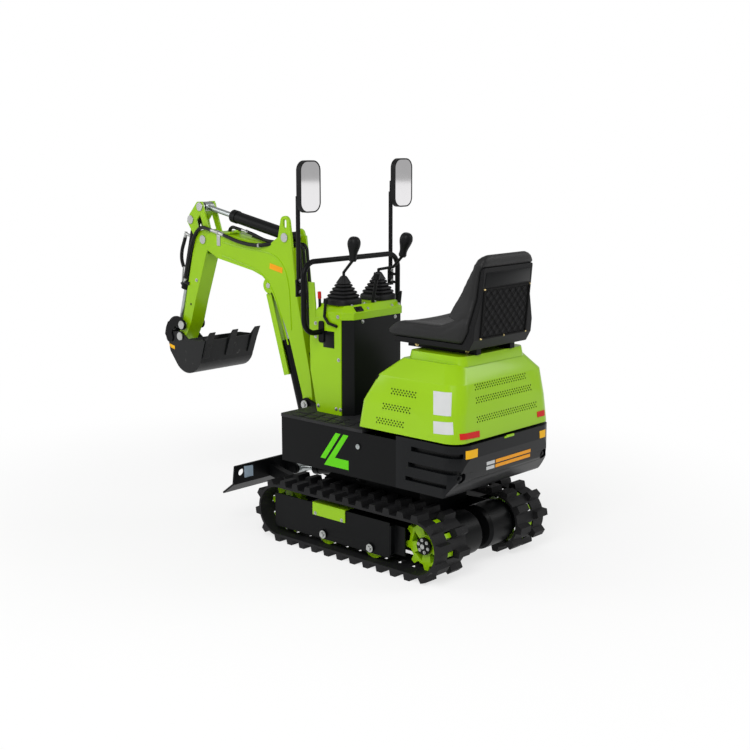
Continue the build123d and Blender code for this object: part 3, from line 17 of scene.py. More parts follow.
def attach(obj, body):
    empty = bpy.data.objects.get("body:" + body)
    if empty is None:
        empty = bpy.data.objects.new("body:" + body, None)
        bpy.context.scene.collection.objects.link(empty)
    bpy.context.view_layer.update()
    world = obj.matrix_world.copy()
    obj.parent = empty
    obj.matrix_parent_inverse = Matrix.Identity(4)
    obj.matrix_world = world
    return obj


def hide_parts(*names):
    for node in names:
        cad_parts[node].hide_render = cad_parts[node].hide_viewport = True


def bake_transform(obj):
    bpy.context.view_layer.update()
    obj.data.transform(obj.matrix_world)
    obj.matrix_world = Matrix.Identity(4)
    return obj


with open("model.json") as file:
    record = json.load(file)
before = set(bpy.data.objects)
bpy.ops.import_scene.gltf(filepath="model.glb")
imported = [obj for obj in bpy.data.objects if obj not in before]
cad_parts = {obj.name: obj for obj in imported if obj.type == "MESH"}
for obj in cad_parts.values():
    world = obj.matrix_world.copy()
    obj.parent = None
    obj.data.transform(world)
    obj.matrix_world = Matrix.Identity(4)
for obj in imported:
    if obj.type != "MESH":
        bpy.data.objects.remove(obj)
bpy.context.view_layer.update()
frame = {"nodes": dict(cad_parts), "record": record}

log = logging.getLogger("excavator")
logging.basicConfig(level=logging.INFO, format="%(name)s: %(message)s")

MM = 0.001
MERGE = 1e-5
JOINTS = {joint["name"]: joint for joint in frame["record"]["behaviour"]["joints"]}
SLEW = Vector((JOINTS["slew"]["pos_m"][0], 0.0, 0.0))


def place(x: float, y: float, z: float) -> Vector:
    """A point from its distance ahead of the slewing axis, to the left and above ground, in mm."""
    return SLEW + Vector((x, y, z)) * MM


def linked(name: str, data: bpy.types.ID) -> bpy.types.Object:
    """Put a new object in the scene.

    Args:
        name: Its name.
        data: Its mesh, curve, lamp or camera.

    Returns:
        The object.
    """
    made = bpy.data.objects.new(name, data)
    bpy.context.scene.collection.objects.link(made)
    return made


def settled(mesh: bmesh.types.BMesh, name: str) -> bpy.types.Mesh:
    """Turn a bmesh into mesh data.

    Args:
        mesh: The bmesh, which is used up.
        name: The data's name.

    Returns:
        The mesh data.
    """
    data = bpy.data.meshes.new(name)
    mesh.to_mesh(data)
    mesh.free()
    return data


def opened(data: bpy.types.Mesh, merge: bool = True) -> bmesh.types.BMesh:
    """Turn mesh data into a bmesh.

    Args:
        data: The mesh data, which stays.
        merge: Whether vertices that meet are joined.

    Returns:
        The bmesh.
    """
    mesh = bmesh.new()
    mesh.from_mesh(data)
    if merge:
        bmesh.ops.remove_doubles(mesh, verts=mesh.verts, dist=MERGE)
    return mesh


def evaluated(holder: bpy.types.Object) -> bpy.types.Mesh:
    """Take the mesh that an object's modifiers or its curve's settings give now.

    Args:
        holder: The object.

    Returns:
        New mesh data.
    """
    bpy.context.view_layer.update()
    graph = bpy.context.evaluated_depsgraph_get()
    return bpy.data.meshes.new_from_object(holder.evaluated_get(graph))


def thicken(mesh: bmesh.types.BMesh, faces: Sequence[bmesh.types.BMFace], out: Vector) -> list:
    """Give flat faces a thickness.

    Args:
        mesh: Their mesh.
        faces: The faces.
        out: From the inner side to the outer one, in metres.

    Returns:
        The outer side's vertices.
    """
    made = bmesh.ops.extrude_face_region(mesh, geom=faces, use_keep_orig=True)
    outer = [item for item in made["geom"] if isinstance(item, bmesh.types.BMVert)]
    bmesh.ops.translate(mesh, verts=outer, vec=out)
    bmesh.ops.recalc_face_normals(mesh, faces=mesh.faces[:])
    return outer


def smooth(mesh: bmesh.types.BMesh, rounds: int) -> None:
    """Move each vertex half way to its neighbours, some times over."""
    for _ in range(rounds):
        bmesh.ops.smooth_vert(mesh, verts=mesh.verts, factor=0.5, use_axis_x=True, use_axis_y=True,
                              use_axis_z=True)


class Number:
    """A number socket on which Python's operators add Math nodes."""

    def __init__(self, graph: "Graph", socket: bpy.types.NodeSocket) -> None:
        """Wrap an output socket that carries one number in a node tree."""
        self.graph = graph
        self.socket = socket

    def _maths(self, operation: str, *values: "Number | float") -> "Number":
        """One Math node's result on some values, in order."""
        return self.graph.number("ShaderNodeMath", {"operation": operation}, *values)

    def __add__(self, other: "Number | float") -> "Number":
        """Sum."""
        return self._maths("ADD", self, other)

    __radd__ = __add__

    def __sub__(self, other: "Number | float") -> "Number":
        """Difference."""
        return self._maths("SUBTRACT", self, other)

    def __rsub__(self, other: float) -> "Number":
        """Difference, from a plain number."""
        return self._maths("SUBTRACT", other, self)

    def __mul__(self, other: "Number | float") -> "Number":
        """Product."""
        return self._maths("MULTIPLY", self, other)

    __rmul__ = __mul__

    def __pow__(self, other: float) -> "Number":
        """Power."""
        return self._maths("POWER", self, other)

    def most(self, other: "Number | float") -> "Number":
        """The larger of two numbers."""
        return self._maths("MAXIMUM", self, other)

    def step(self, low: float, high: float) -> "Number":
        """A smooth rise from 0 at the low value to 1 at the high one."""
        return self.graph.number(
            "ShaderNodeMapRange", {"interpolation_type": "SMOOTHSTEP"}, self, low, high, 0.0, 1.0)


class Graph:
    """The node tree of one material, or of the world."""

    def __init__(self, name: str, world: bool = False) -> None:
        """Start an empty tree.

        Args:
            name: The name of what it belongs to.
            world: Whether that is the world.
        """
        self.owner = (bpy.data.worlds if world else bpy.data.materials).new(name)
        self.owner.use_nodes = True
        self.tree = self.owner.node_tree
        self.tree.nodes.clear()
        self.output = self.tree.nodes.new(f"ShaderNodeOutput{'World' if world else 'Material'}")

    def node(self, kind: str, settings: dict | None = None, *values: object, **named: object) -> bpy.types.Node:
        """Add a node.

        Args:
            kind: The node's type.
            settings: Its properties, set before its sockets.
            values: Numbers, colours, vectors or sockets for its first inputs, in order.
            named: The same by the input's name, with _ for a space.

        Returns:
            The new node.
        """
        node = self.tree.nodes.new(kind)
        for key, value in (settings or {}).items():
            setattr(node, key, value)
        inputs = list(zip((socket for socket in node.inputs if socket.enabled), values))
        inputs += [(node.inputs[key.replace("_", " ")], value) for key, value in named.items()]
        for socket, value in inputs:
            if isinstance(value, Number):
                value = value.socket
            if isinstance(value, bpy.types.NodeSocket):
                self.tree.links.new(value, socket)
            else:
                socket.default_value = value
        return node

    def number(self, kind: str, settings: dict | None = None, *values: object, **named: object) -> Number:
        """Add a node and wrap its first output in use."""
        node = self.node(kind, settings, *values, **named)
        return Number(self, next(socket for socket in node.outputs if socket.enabled))

    def place(self) -> bpy.types.NodeSocket:
        """The object's own coordinates of the shaded point."""
        return self.node("ShaderNodeTexCoord").outputs["Object"]

    def axes(self, vector: bpy.types.NodeSocket) -> tuple[Number, Number, Number]:
        """A vector's three numbers."""
        split = self.node("ShaderNodeSeparateXYZ", None, vector)
        return tuple(Number(self, output) for output in split.outputs)

    def noise(self, scale: float, detail: float = 3.0, vector: bpy.types.NodeSocket | None = None) -> Number:
        """Cloudy noise from 0 to 1, of some waves to a metre and some finer layers."""
        where = vector or self.place()
        return self.number("ShaderNodeTexNoise", None, Vector=where, Scale=scale, Detail=detail)

    def mix(self, factor: Number | float, first: object, second: object) -> bpy.types.NodeSocket:
        """Blend two colours.

        Args:
            factor: 0 for the first colour and 1 for the second.
            first: A colour or a colour socket.
            second: A colour or a colour socket.

        Returns:
            The blended colour.
        """
        first, second = (colour if isinstance(colour, bpy.types.NodeSocket) else (*colour[:3], 1.0)
                         for colour in (first, second))
        node = self.node("ShaderNodeMix", {"data_type": "RGBA"}, factor, first, second)
        return next(socket for socket in node.outputs if socket.enabled)

    def bump(self, height: Number, strength: float, distance: float) -> bpy.types.NodeSocket:
        """A normal bent by a height, whose 1 is a distance in metres."""
        node = self.node("ShaderNodeBump", None, Strength=strength, Distance=distance, Height=height)
        return node.outputs["Normal"]

    def show(self, shader: bpy.types.Node) -> bpy.types.Material | bpy.types.World:
        """Put a shader out, and give back what the tree belongs to."""
        self.tree.links.new(shader.outputs[0], self.output.inputs["Surface"])
        return self.owner

    def surface(self, **sockets: object) -> bpy.types.Material:
        """Finish the material with one shader, its inputs given by name with _ for a space."""
        return self.show(self.node("ShaderNodeBsdfPrincipled", None, **sockets))


def grey(level: float) -> tuple[float, float, float, float]:
    """An opaque grey."""
    return (level, level, level, 1.0)


@dataclass(frozen=True)
class Paint:
    """Sprayed gloss paint with a slight orange peel, scuffed to bare metal where it is worn."""

    name: str
    colour: tuple[float, float, float]
    roughness: float = 0.32
    coat: float = 0.3
    peel: float = 0.12
    drift: float = 0.06
    gloss: float = 0.4
    wear: float = 0.0

    def make(self) -> bpy.types.Material:
        """Build the material.

        Returns:
            The material.
        """
        graph = Graph(self.name)
        cloud = graph.noise(5.0, 2.0)
        shade = tuple(channel * (1.0 - self.drift) for channel in self.colour)
        light = tuple(min(channel * (1.0 + self.drift), 1.0) for channel in self.colour)
        peel = graph.noise(420.0, 1.0)
        colour = graph.mix(cloud, shade, light)
        rough = cloud * 0.1 + (self.roughness - 0.05)
        if self.wear:
            chips = graph.noise(38.0, 6.0) * 0.7 + graph.noise(160.0, 3.0) * 0.3
            scuff = chips.step(0.6, 0.72) * self.wear
            colour = graph.mix(scuff, colour, (0.16, 0.155, 0.15))
            rough = rough + scuff * 0.15
        return graph.surface(
            Base_Color=colour, Roughness=rough, Coat_Weight=self.coat, Coat_Roughness=0.12,
            Specular_IOR_Level=self.gloss, Normal=graph.bump(peel, self.peel, 0.0004))


@dataclass(frozen=True)
class Rubber:
    """Moulded rubber with fine grain and a little dust."""

    name: str
    level: float = 0.02
    roughness: float = 0.72
    grain: float = 900.0
    dust: float = 0.25

    def make(self) -> bpy.types.Material:
        """Build the material.

        Returns:
            The material.
        """
        graph = Graph(self.name)
        cloud = graph.noise(14.0, 5.0).step(0.45, 0.75) * self.dust
        dark = (self.level, self.level, self.level * 1.1)
        dusty = (self.level * 2.6, self.level * 2.5, self.level * 2.4)
        grain = graph.noise(self.grain, 2.0)
        return graph.surface(
            Base_Color=graph.mix(cloud, dark, dusty),
            Roughness=grain * 0.16 + (self.roughness - 0.08),
            Specular_IOR_Level=0.2,
            Normal=graph.bump(grain, 0.25, 0.0005))


@dataclass(frozen=True)
class Metal:
    """Bare or plated metal."""

    name: str
    colour: tuple[float, float, float]
    roughness: float
    stretch: tuple[float, float, float] = (40.0, 900.0, 900.0)
    scratch: float = 0.08

    def make(self) -> bpy.types.Material:
        """Build the material.

        Returns:
            The material.
        """
        graph = Graph(self.name)
        where = graph.node("ShaderNodeMapping", None, graph.place(), Scale=self.stretch).outputs[0]
        lines = graph.noise(1.0, 2.0, where)
        stain = graph.noise(30.0, 4.0).step(0.4, 0.8)
        dull = tuple(channel * 0.72 for channel in self.colour)
        return graph.surface(
            Base_Color=graph.mix(stain * 0.5, self.colour, dull),
            Metallic=1.0,
            Roughness=lines * 0.14 + stain * 0.1 + (self.roughness - 0.08),
            Normal=graph.bump(lines, self.scratch, 0.0003))


@dataclass(frozen=True)
class Plastic:
    """Moulded plastic with a fine spark-eroded grain."""

    name: str
    colour: tuple[float, float, float]
    roughness: float = 0.45
    grain: float = 1300.0
    depth: float = 0.12

    def make(self) -> bpy.types.Material:
        """Build the material.

        Returns:
            The material.
        """
        graph = Graph(self.name)
        grain = graph.noise(self.grain, 2.0)
        cloud = graph.noise(8.0, 3.0)
        light = tuple(min(channel * 1.25 + 0.002, 1.0) for channel in self.colour)
        return graph.surface(
            Base_Color=graph.mix(cloud, self.colour, light),
            Roughness=cloud * 0.1 + (self.roughness - 0.05), Specular_IOR_Level=0.14,
            Normal=graph.bump(grain, self.depth, 0.0003))


@dataclass(frozen=True)
class Vinyl:
    """Soft seat skin with a leather grain."""

    name: str
    level: float = 0.022
    roughness: float = 0.42

    def make(self) -> bpy.types.Material:
        """Build the material.

        Returns:
            The material.
        """
        graph = Graph(self.name)
        cells = graph.number(
            "ShaderNodeTexVoronoi", {"feature": "DISTANCE_TO_EDGE"}, Vector=graph.place(), Scale=420.0)
        creases = cells.step(0.0, 0.22)
        cloud = graph.noise(9.0, 3.0)
        dark = (self.level, self.level, self.level * 1.05)
        light = (self.level * 1.6, self.level * 1.6, self.level * 1.7)
        return graph.surface(
            Base_Color=graph.mix(cloud, dark, light),
            Roughness=self.roughness + 0.12 - creases * 0.1,
            Specular_IOR_Level=0.3, Sheen_Weight=0.03,
            Normal=graph.bump(creases, 0.35, 0.0004))


@dataclass(frozen=True)
class Mirror:
    """Silvered glass."""

    name: str

    def make(self) -> bpy.types.Material:
        """Build the material.

        Returns:
            The material.
        """
        graph = Graph(self.name)
        cloud = graph.noise(20.0, 2.0)
        return graph.surface(
            Base_Color=graph.mix(cloud, (0.80, 0.79, 0.80), (0.84, 0.83, 0.84)), Metallic=1.0,
            Roughness=cloud * 0.02 + 0.03)


class Finish(Enum):
    """The machine's finishes."""

    LIME = Paint("lime paint", (0.275, 0.515, 0.0), coat=0.12, gloss=0.25)
    LIME_MOULDING = Paint("lime moulding", (0.275, 0.51, 0.0), roughness=0.3, coat=0.22, peel=0.04, gloss=0.28)
    BLACK = Paint("black paint", (0.0030, 0.0033, 0.0036), roughness=0.4, coat=0.02, drift=0.25, gloss=0.1)
    CAST = Paint("black casting", (0.0035, 0.004, 0.0048), roughness=0.34, coat=0.06, peel=0.25, drift=0.25,
                 gloss=0.15)
    WORN = Paint("worn black paint", (0.005, 0.0055, 0.006), roughness=0.42, coat=0.06, drift=0.3, gloss=0.2,
                 wear=0.35)
    TRACK = Rubber("track rubber", level=0.008, roughness=0.6)
    MAT = Rubber("mat rubber", level=0.016, roughness=0.55, dust=0.5)
    GAITER = Rubber("gaiter rubber", level=0.007, roughness=0.5, dust=0.1)
    HOSE = Rubber("hose rubber", level=0.006, roughness=0.5, dust=0.15)
    STEEL = Metal("zinc plate", (0.50, 0.51, 0.50), 0.38)
    BRASS = Metal("yellow zinc", (0.62, 0.48, 0.22), 0.36)
    CHROME = Metal("chrome rod", (0.42, 0.45, 0.45), 0.34, scratch=0.0)
    PLASTIC = Plastic("black plastic", (0.0045, 0.0045, 0.005))
    PANEL = Plastic("panel plastic", (0.0028, 0.0032, 0.0036), roughness=0.3)
    # This near-black finish is the seat net's cord, and also the painted shade on the sheet behind the hood
    # vents.
    WEBBING = Plastic("net cord and vent shade", (0.002, 0.002, 0.002), roughness=0.7, grain=500.0, depth=0.4)
    RED = Plastic("red plastic", (0.50, 0.015, 0.012), roughness=0.25, depth=0.03)
    YELLOW = Plastic("yellow label", (0.72, 0.38, 0.01), roughness=0.4, depth=0.02)
    ORANGE = Plastic("orange label", (0.75, 0.30, 0.008), roughness=0.4, depth=0.02)
    GREEN = Plastic("green label", (0.10, 0.52, 0.004), roughness=0.35, depth=0.02)
    PALE = Plastic("pale label", (0.52, 0.53, 0.53), roughness=0.45, depth=0.02)
    ICE = Plastic("pale blue label", (0.36, 0.46, 0.56), roughness=0.45, depth=0.02)
    VINYL = Vinyl("seat skin", level=0.0055)
    MIRROR = Mirror("mirror glass")


class Wardrobe:
    """Builds each finish once and puts it on pieces."""

    def __init__(self) -> None:
        """Start with no material made."""
        self.made: dict[Finish, bpy.types.Material] = {}

    def material(self, finish: Finish) -> bpy.types.Material:
        """The finish's material, made when it is first asked for."""
        if finish not in self.made:
            self.made[finish] = finish.value.make()
        return self.made[finish]

    def dress(self, piece: bpy.types.Object, finish: Finish) -> None:
        """Give a whole piece one finish."""
        piece.data.materials.clear()
        piece.data.materials.append(self.material(finish))


class Shop:
    """Makes finished pieces out of meshes: names them, dresses them and sets what they ride on."""

    SHARP_ANGLE = math.radians(32.0)
    FLAT_ANGLE = math.radians(0.3)

    def __init__(self) -> None:
        """Open the shop with all its finishes."""
        self.wardrobe = Wardrobe()

    def piece(self, name: str, mesh: bmesh.types.BMesh, body: str, finish: Finish) -> bpy.types.Object:
        """Turn a bmesh into a piece that rides on a body.

        Args:
            name: The piece's name.
            mesh: Its shape, which is used up.
            body: The body that carries it.
            finish: Its finish.

        Returns:
            The piece.
        """
        data = settled(mesh, name)
        data.shade_smooth()
        data.set_sharp_from_angle(angle=self.SHARP_ANGLE)
        piece = linked(name, data)
        self.wardrobe.dress(piece, finish)
        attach(piece, body)
        log.info("%s on %s", name, body)
        return piece

    def forged(self, body: str, **made: tuple["Forge", Finish]) -> None:
        """Make pieces on one body, each from its name, its forge and its finish."""
        for name, (forge, finish) in made.items():
            self.piece(name, forge.mesh, body, finish)

    def edged(self, node: str, finish: Finish, width: float = 0.8, segments: int = 2) -> None:
        """Stand for a CAD node with a copy whose edges are rounded.

        Args:
            node: The node.
            finish: Its finish.
            width: How wide the rounding is, in mm.
            segments: How many faces it has.
        """
        copy = opened(frame["nodes"][node].data)
        bmesh.ops.dissolve_limit(
            copy, angle_limit=self.FLAT_ANGLE, use_dissolve_boundaries=False,
            verts=copy.verts, edges=copy.edges, delimit=set())
        piece = self.piece(f"{node}_edged", copy, BODY_OF[node], finish)
        rounding = piece.modifiers.new("edges", "BEVEL")
        rounding.width = width * MM
        rounding.segments = segments
        rounding.limit_method = "ANGLE"
        rounding.angle_limit = self.SHARP_ANGLE
        rounding.use_clamp_overlap = True
        rounding.harden_normals = True
        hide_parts(node)

    def finish_node(self, node: str, finish: Finish) -> None:
        """Dress a CAD node as it is."""
        for slot in frame["nodes"][node].material_slots:
            slot.material = self.wardrobe.material(finish)

    def nodes(self, *rows: tuple) -> None:
        """Dress many nodes.

        Args:
            rows: A finish, the width of the rounding or None for a node as it is, and the nodes.
        """
        for finish, width, *names in rows:
            for name in names:
                if width:
                    self.edged(name, finish, width)
                else:
                    self.finish_node(name, finish)


BODY_OF = {
    node: body for body, nodes in frame["record"]["behaviour"]["bodies"].items() for node in nodes}
SIDES = (1, -1)


def mirrored(point: Sequence[float], side: int) -> tuple[float, float, float]:
    """A point on one side of the machine from the same point on its left side."""
    return (point[0], point[1] * side, point[2])


class Forge:
    """One growing mesh. Its places are in mm from the slewing axis."""

    def __init__(self) -> None:
        """Start with an empty mesh."""
        self.mesh = bmesh.new()

    def drum(self, start: Sequence[float], end: Sequence[float], radius: float, sides: int = 28,
             end_radius: float | None = None, bevel: float = 0.0) -> None:
        """Add a round bar or cone.

        Args:
            start: The middle of one end.
            end: The middle of the other end.
            radius: Its radius, at the start where it is a cone.
            sides: How many flats stand for its curve.
            end_radius: Its radius at the end, where it is a cone.
            bevel: How wide its rims are rounded.
        """
        low, high = place(*start), place(*end)
        axis = high - low
        turn = axis.to_track_quat("Z", "Y").to_matrix().to_4x4()
        last = radius if end_radius is None else end_radius
        made = bmesh.ops.create_cone(
            self.mesh, cap_ends=True, segments=sides, radius1=radius * MM, radius2=last * MM,
            depth=axis.length, matrix=Matrix.Translation((low + high) / 2) @ turn)
        if bevel:
            self.round(made["verts"], bevel)

    def round(self, verts: Iterable[bmesh.types.BMVert], width: float) -> None:
        """Round the sharp edges between some vertices.

        Args:
            verts: The vertices.
            width: How wide the rounding is.
        """
        self.mesh.normal_update()
        edges = {edge for vert in verts for edge in vert.link_edges
                 if edge.is_manifold and edge.calc_face_angle(0.0) > Shop.SHARP_ANGLE}
        bmesh.ops.bevel(
            self.mesh, geom=list(edges), offset=width * MM, offset_type="OFFSET", segments=2,
            profile=0.5, affect="EDGES", clamp_overlap=True, material=-1)

    def slab(self, at: Sequence[float], size: Sequence[float], facing: Sequence[float] = (0, 0, 1),
             bevel: float = 0.0) -> None:
        """Add a block that stands on a face.

        Args:
            at: The middle of its foot.
            size: Its two sides along the face and its height.
            facing: The face's outward direction.
            bevel: How wide its edges are rounded.
        """
        turn = Vector(facing).to_track_quat("Z", "Y").to_matrix().to_4x4()
        lift = Matrix.Translation((0.0, 0.0, size[2] * MM / 2))
        scale = Matrix.Diagonal((size[0] * MM, size[1] * MM, size[2] * MM, 1.0))
        made = bmesh.ops.create_cube(
            self.mesh, size=1.0, matrix=Matrix.Translation(place(*at)) @ turn @ lift @ scale)
        if bevel:
            self.round(made["verts"], bevel)

    def sheet_metal(self, outline: Sequence[Sequence[float]], out: Sequence[float], bevel: float = 0.0) -> None:
        """Add a flat plate.

        Args:
            outline: The corners of its inner face.
            out: From the inner face to the outer one.
            bevel: How wide its edges are rounded.
        """
        face = self.mesh.faces.new([self.mesh.verts.new(place(*corner)) for corner in outline])
        outer = thicken(self.mesh, [face], Vector(out) * MM)
        if bevel:
            self.round(outer, bevel)

    def bolt(self, at: Sequence[float], facing: Sequence[float], size: float = 7.0) -> None:
        """Add a washer and a hexagon head.

        Args:
            at: Where the bolt goes in.
            facing: The direction that its head looks in.
            size: The head's radius.
        """
        out = Vector(facing).normalized()
        foot = Vector(at)
        self.drum(foot - out * 0.6, foot + out * 1.4, size * 1.55, 24, bevel=0.4)
        self.drum(foot + out * 1.2, foot + out * (1.4 + size * 0.75), size, 6, bevel=0.7)

    def route(self, points: Sequence[Sequence[float]], radius: float, sides: int = 12) -> list[Vector]:
        """Add a smooth tube.

        Args:
            points: The control points of its middle line.
            radius: Its radius.
            sides: How many flats stand for its curve.

        Returns:
            Points on its middle line.
        """
        data = bpy.data.curves.new("route", "CURVE")
        data.dimensions = "3D"
        data.resolution_u = 8
        data.bevel_depth = 0.0
        spline = data.splines.new("NURBS")
        spline.points.add(len(points) - 1)
        for control, point in zip(spline.points, points):
            control.co = (*place(*point), 1.0)
        spline.order_u = 3
        spline.use_endpoint_u = True
        holder = linked("route", data)
        line = evaluated(holder)
        middle = [vert.co.copy() for vert in line.vertices]
        bpy.data.meshes.remove(line)
        data.bevel_depth = radius * MM
        data.bevel_resolution = max(sides // 4 - 1, 1)
        data.use_fill_caps = True
        tube = evaluated(holder)
        grown = opened(tube)
        bmesh.ops.recalc_face_normals(grown, faces=grown.faces[:])
        grown.to_mesh(tube)
        grown.free()
        self.mesh.from_mesh(tube)
        bpy.data.meshes.remove(tube)
        bpy.data.objects.remove(holder)
        bpy.data.curves.remove(data)
        return middle


@dataclass
class Decal:
    """A plain sticker, pressed on the surface of a node."""

    name: str
    node: str
    corners: Sequence[Sequence[float]]
    facing: Sequence[float]
    finish: Finish
    cells: int = 8
    lift: float = 0.35
    thickness: float = 0.5

    REACH = 60.0

    def mesh(self) -> bmesh.types.BMesh:
        """Press a grid on the node.

        Returns:
            The sticker's closed mesh.
        """
        target = opened(frame["nodes"][self.node].data, merge=False)
        tree = BVHTree.FromBMesh(target)
        target.free()
        a, b, c, d = (place(*corner) for corner in self.corners)
        out = Vector(self.facing).normalized()
        grid = bmesh.new()
        bmesh.ops.create_grid(grid, x_segments=self.cells, y_segments=self.cells, size=0.5)
        for vert in grid.verts:
            u, v = vert.co.x + 0.5, vert.co.y + 0.5
            flat = (a.lerp(b, u)).lerp(d.lerp(c, u), v)
            found, _, _, _ = tree.ray_cast(flat + out * self.REACH * MM, -out)
            vert.co = (found or flat) + out * self.lift * MM
        thicken(grid, grid.faces[:], out * self.thickness * MM)
        return grid

    def stick(self, shop: "Shop") -> None:
        """Make the sticker ride on its node's body."""
        shop.piece(self.name, self.mesh(), BODY_OF[self.node], self.finish)


@dataclass
class Studio:
    """Floor, lights and the camera at the photograph's viewing angle."""

    yaw: float = 0.830
    pitch: float = 0.187
    lens: float = 61.68
    eye: tuple[float, float, float] = (-3424.6, 3894.7, 1692.8)
    floor_radius: float = 40.0
    daylight: float = 0.46
    fade: tuple[float, float] = (1.0, 2.6)
    aim: tuple[float, float, float] = (0.3, 0.0, 0.6)
    lamps: tuple = (
        ("key", (-2.2, 4.4, 4.6), 3.0, 215.0), ("fill", (4.2, 3.2, 3.0), 3.0, 60.0),
        ("rim", (-3.5, -3.5, 3.6), 2.5, 70.0))

    def camera(self) -> None:
        """Set the camera where the photograph was taken from."""
        data = bpy.data.cameras.new("camera")
        data.lens = self.lens
        data.sensor_width = 36.0
        data.clip_end = 200.0
        camera = linked("camera", data)
        camera.location = place(*self.eye)
        ahead = Vector((math.cos(self.yaw) * math.cos(self.pitch),
                        -math.sin(self.yaw) * math.cos(self.pitch), -math.sin(self.pitch)))
        camera.rotation_euler = ahead.to_track_quat("-Z", "Y").to_euler()
        bpy.context.scene.camera = camera

    def floor(self) -> None:
        """Lay a wide pale floor that keeps the machine's shadow and fades to white."""
        disc = bmesh.new()
        bmesh.ops.create_circle(disc, cap_ends=True, segments=96, radius=self.floor_radius)
        floor = linked("floor", settled(disc, "floor"))
        graph = Graph("floor")
        cloud = graph.noise(0.8, 2.0)
        lit = graph.node("ShaderNodeBsdfPrincipled", None, Roughness=0.9, Specular_IOR_Level=0.1,
                         Base_Color=graph.mix(cloud, grey(0.92), grey(0.94)))
        glow = graph.node("ShaderNodeEmission", None, grey(1.0), 1.0)
        rays = graph.node("ShaderNodeLightPath")
        seen = Number(graph, rays.outputs["Is Camera Ray"]).most(Number(graph, rays.outputs["Is Glossy Ray"]))
        x, y, _ = graph.axes(graph.place())
        far = ((x * x + y * y) ** 0.5).step(*self.fade)
        blend = graph.node("ShaderNodeMixShader", None, seen * (far * 0.3 + 0.7), lit.outputs[0],
                           glow.outputs[0])
        floor.data.materials.append(graph.show(blend))

    def lamp(self, name: str, at: Sequence[float], size: float, power: float) -> None:
        """Hang one soft lamp that looks at the machine.

        Args:
            name: The lamp's name.
            at: Where it hangs, in metres from the slewing axis.
            size: Its side, in metres.
            power: Its power, in watts.
        """
        data = bpy.data.lights.new(name, "AREA")
        data.shape = "SQUARE"
        data.size = size
        data.energy = power
        lamp = linked(name, data)
        lamp.location = SLEW + Vector(at)
        lamp.rotation_euler = (SLEW + Vector(self.aim) - lamp.location).to_track_quat("-Z", "Y").to_euler()

    def world(self) -> None:
        """Light the scene from all round, white to the camera."""
        graph = Graph("studio", world=True)
        seen = graph.node("ShaderNodeLightPath").outputs["Is Camera Ray"]
        soft = graph.node("ShaderNodeBackground", None, grey(1.0), self.daylight)
        white = graph.node("ShaderNodeBackground", None, grey(1.0), 1.0)
        blend = graph.node("ShaderNodeMixShader", None, seen, soft.outputs[0], white.outputs[0])
        bpy.context.scene.world = graph.show(blend)

    def build(self) -> None:
        """Set up the whole studio."""
        bpy.context.scene.view_settings.view_transform = "Standard"
        self.world()
        self.floor()
        for name, at, size, power in self.lamps:
            self.lamp(name, at, size, power)
        self.camera()
        log.info("studio ready")


@dataclass
class Undercarriage:
    """Tracks, their wheels and frames, the car body and the blade."""

    shop: Shop
    roller_x: tuple[float, ...] = (126.7, -133.0)
    roller_z: float = 79.4
    frame_y: float = 328.0
    cover_y: float = 324.3
    sprocket: tuple[float, float, float] = (-378.0, 285.0, 131.5)

    def dress(self) -> None:
        """Give each node its finish."""
        self.shop.nodes(
            (Finish.TRACK, 2.0, "track_left"), (Finish.BLACK, 0.8, "track_frame_left"),
            (Finish.TRACK, 2.0, "track_right"), (Finish.BLACK, 0.8, "track_frame_right"),
            (Finish.LIME, 0.8, "drive_sprockets", "idler_wheels", "bottom_rollers", "frame_covers"),
            (Finish.BLACK, 0.8, "travel_motors"), (Finish.BLACK, 1.5, "car_body"),
            (Finish.BLACK, 1.2, "dozer_blade"), (Finish.BLACK, 0.8, "blade_barrel"),
            (Finish.CHROME, None, "blade_rod"))

    def bolts(self) -> None:
        """Bolt the rollers, the covers and the sprockets."""
        axles, hubs = Forge(), Forge()
        for side in SIDES:
            out = (0, side, 0)
            for x in self.roller_x:
                axles.bolt(mirrored((x, self.frame_y, self.roller_z), side), out, 11.0)
            for x in (22.0, 171.0):
                axles.bolt(mirrored((x, self.cover_y, 160.4), side), out, 5.0)
            x, y, z = self.sprocket
            hubs.drum(mirrored((x, y - 6, z), side), mirrored((x, y + 5, z), side), 34, 36, bevel=1.5)
            for turn in range(6):
                angle = math.radians(60 * turn + 15)
                spot = (x + 24 * math.cos(angle), y + 5, z + 24 * math.sin(angle))
                axles.bolt(mirrored(spot, side), out, 4.5)
            axles.drum(mirrored((x, y + 4, z), side), mirrored((x, y + 12, z), side), 11, 6, bevel=1.0)
        self.shop.forged("undercarriage", undercarriage_bolts=(axles, Finish.STEEL),
                         sprocket_hubs=(hubs, Finish.BLACK))

    def build(self) -> None:
        """Make the whole undercarriage."""
        self.dress()
        self.bolts()
        Decal("blade_sticker", "dozer_blade",
              ((640.0, 292, 268), (640.6, 240, 264), (648, 233, 214), (648, 284, 214)), (-1, 0, 0),
              Finish.ICE).stick(self.shop)


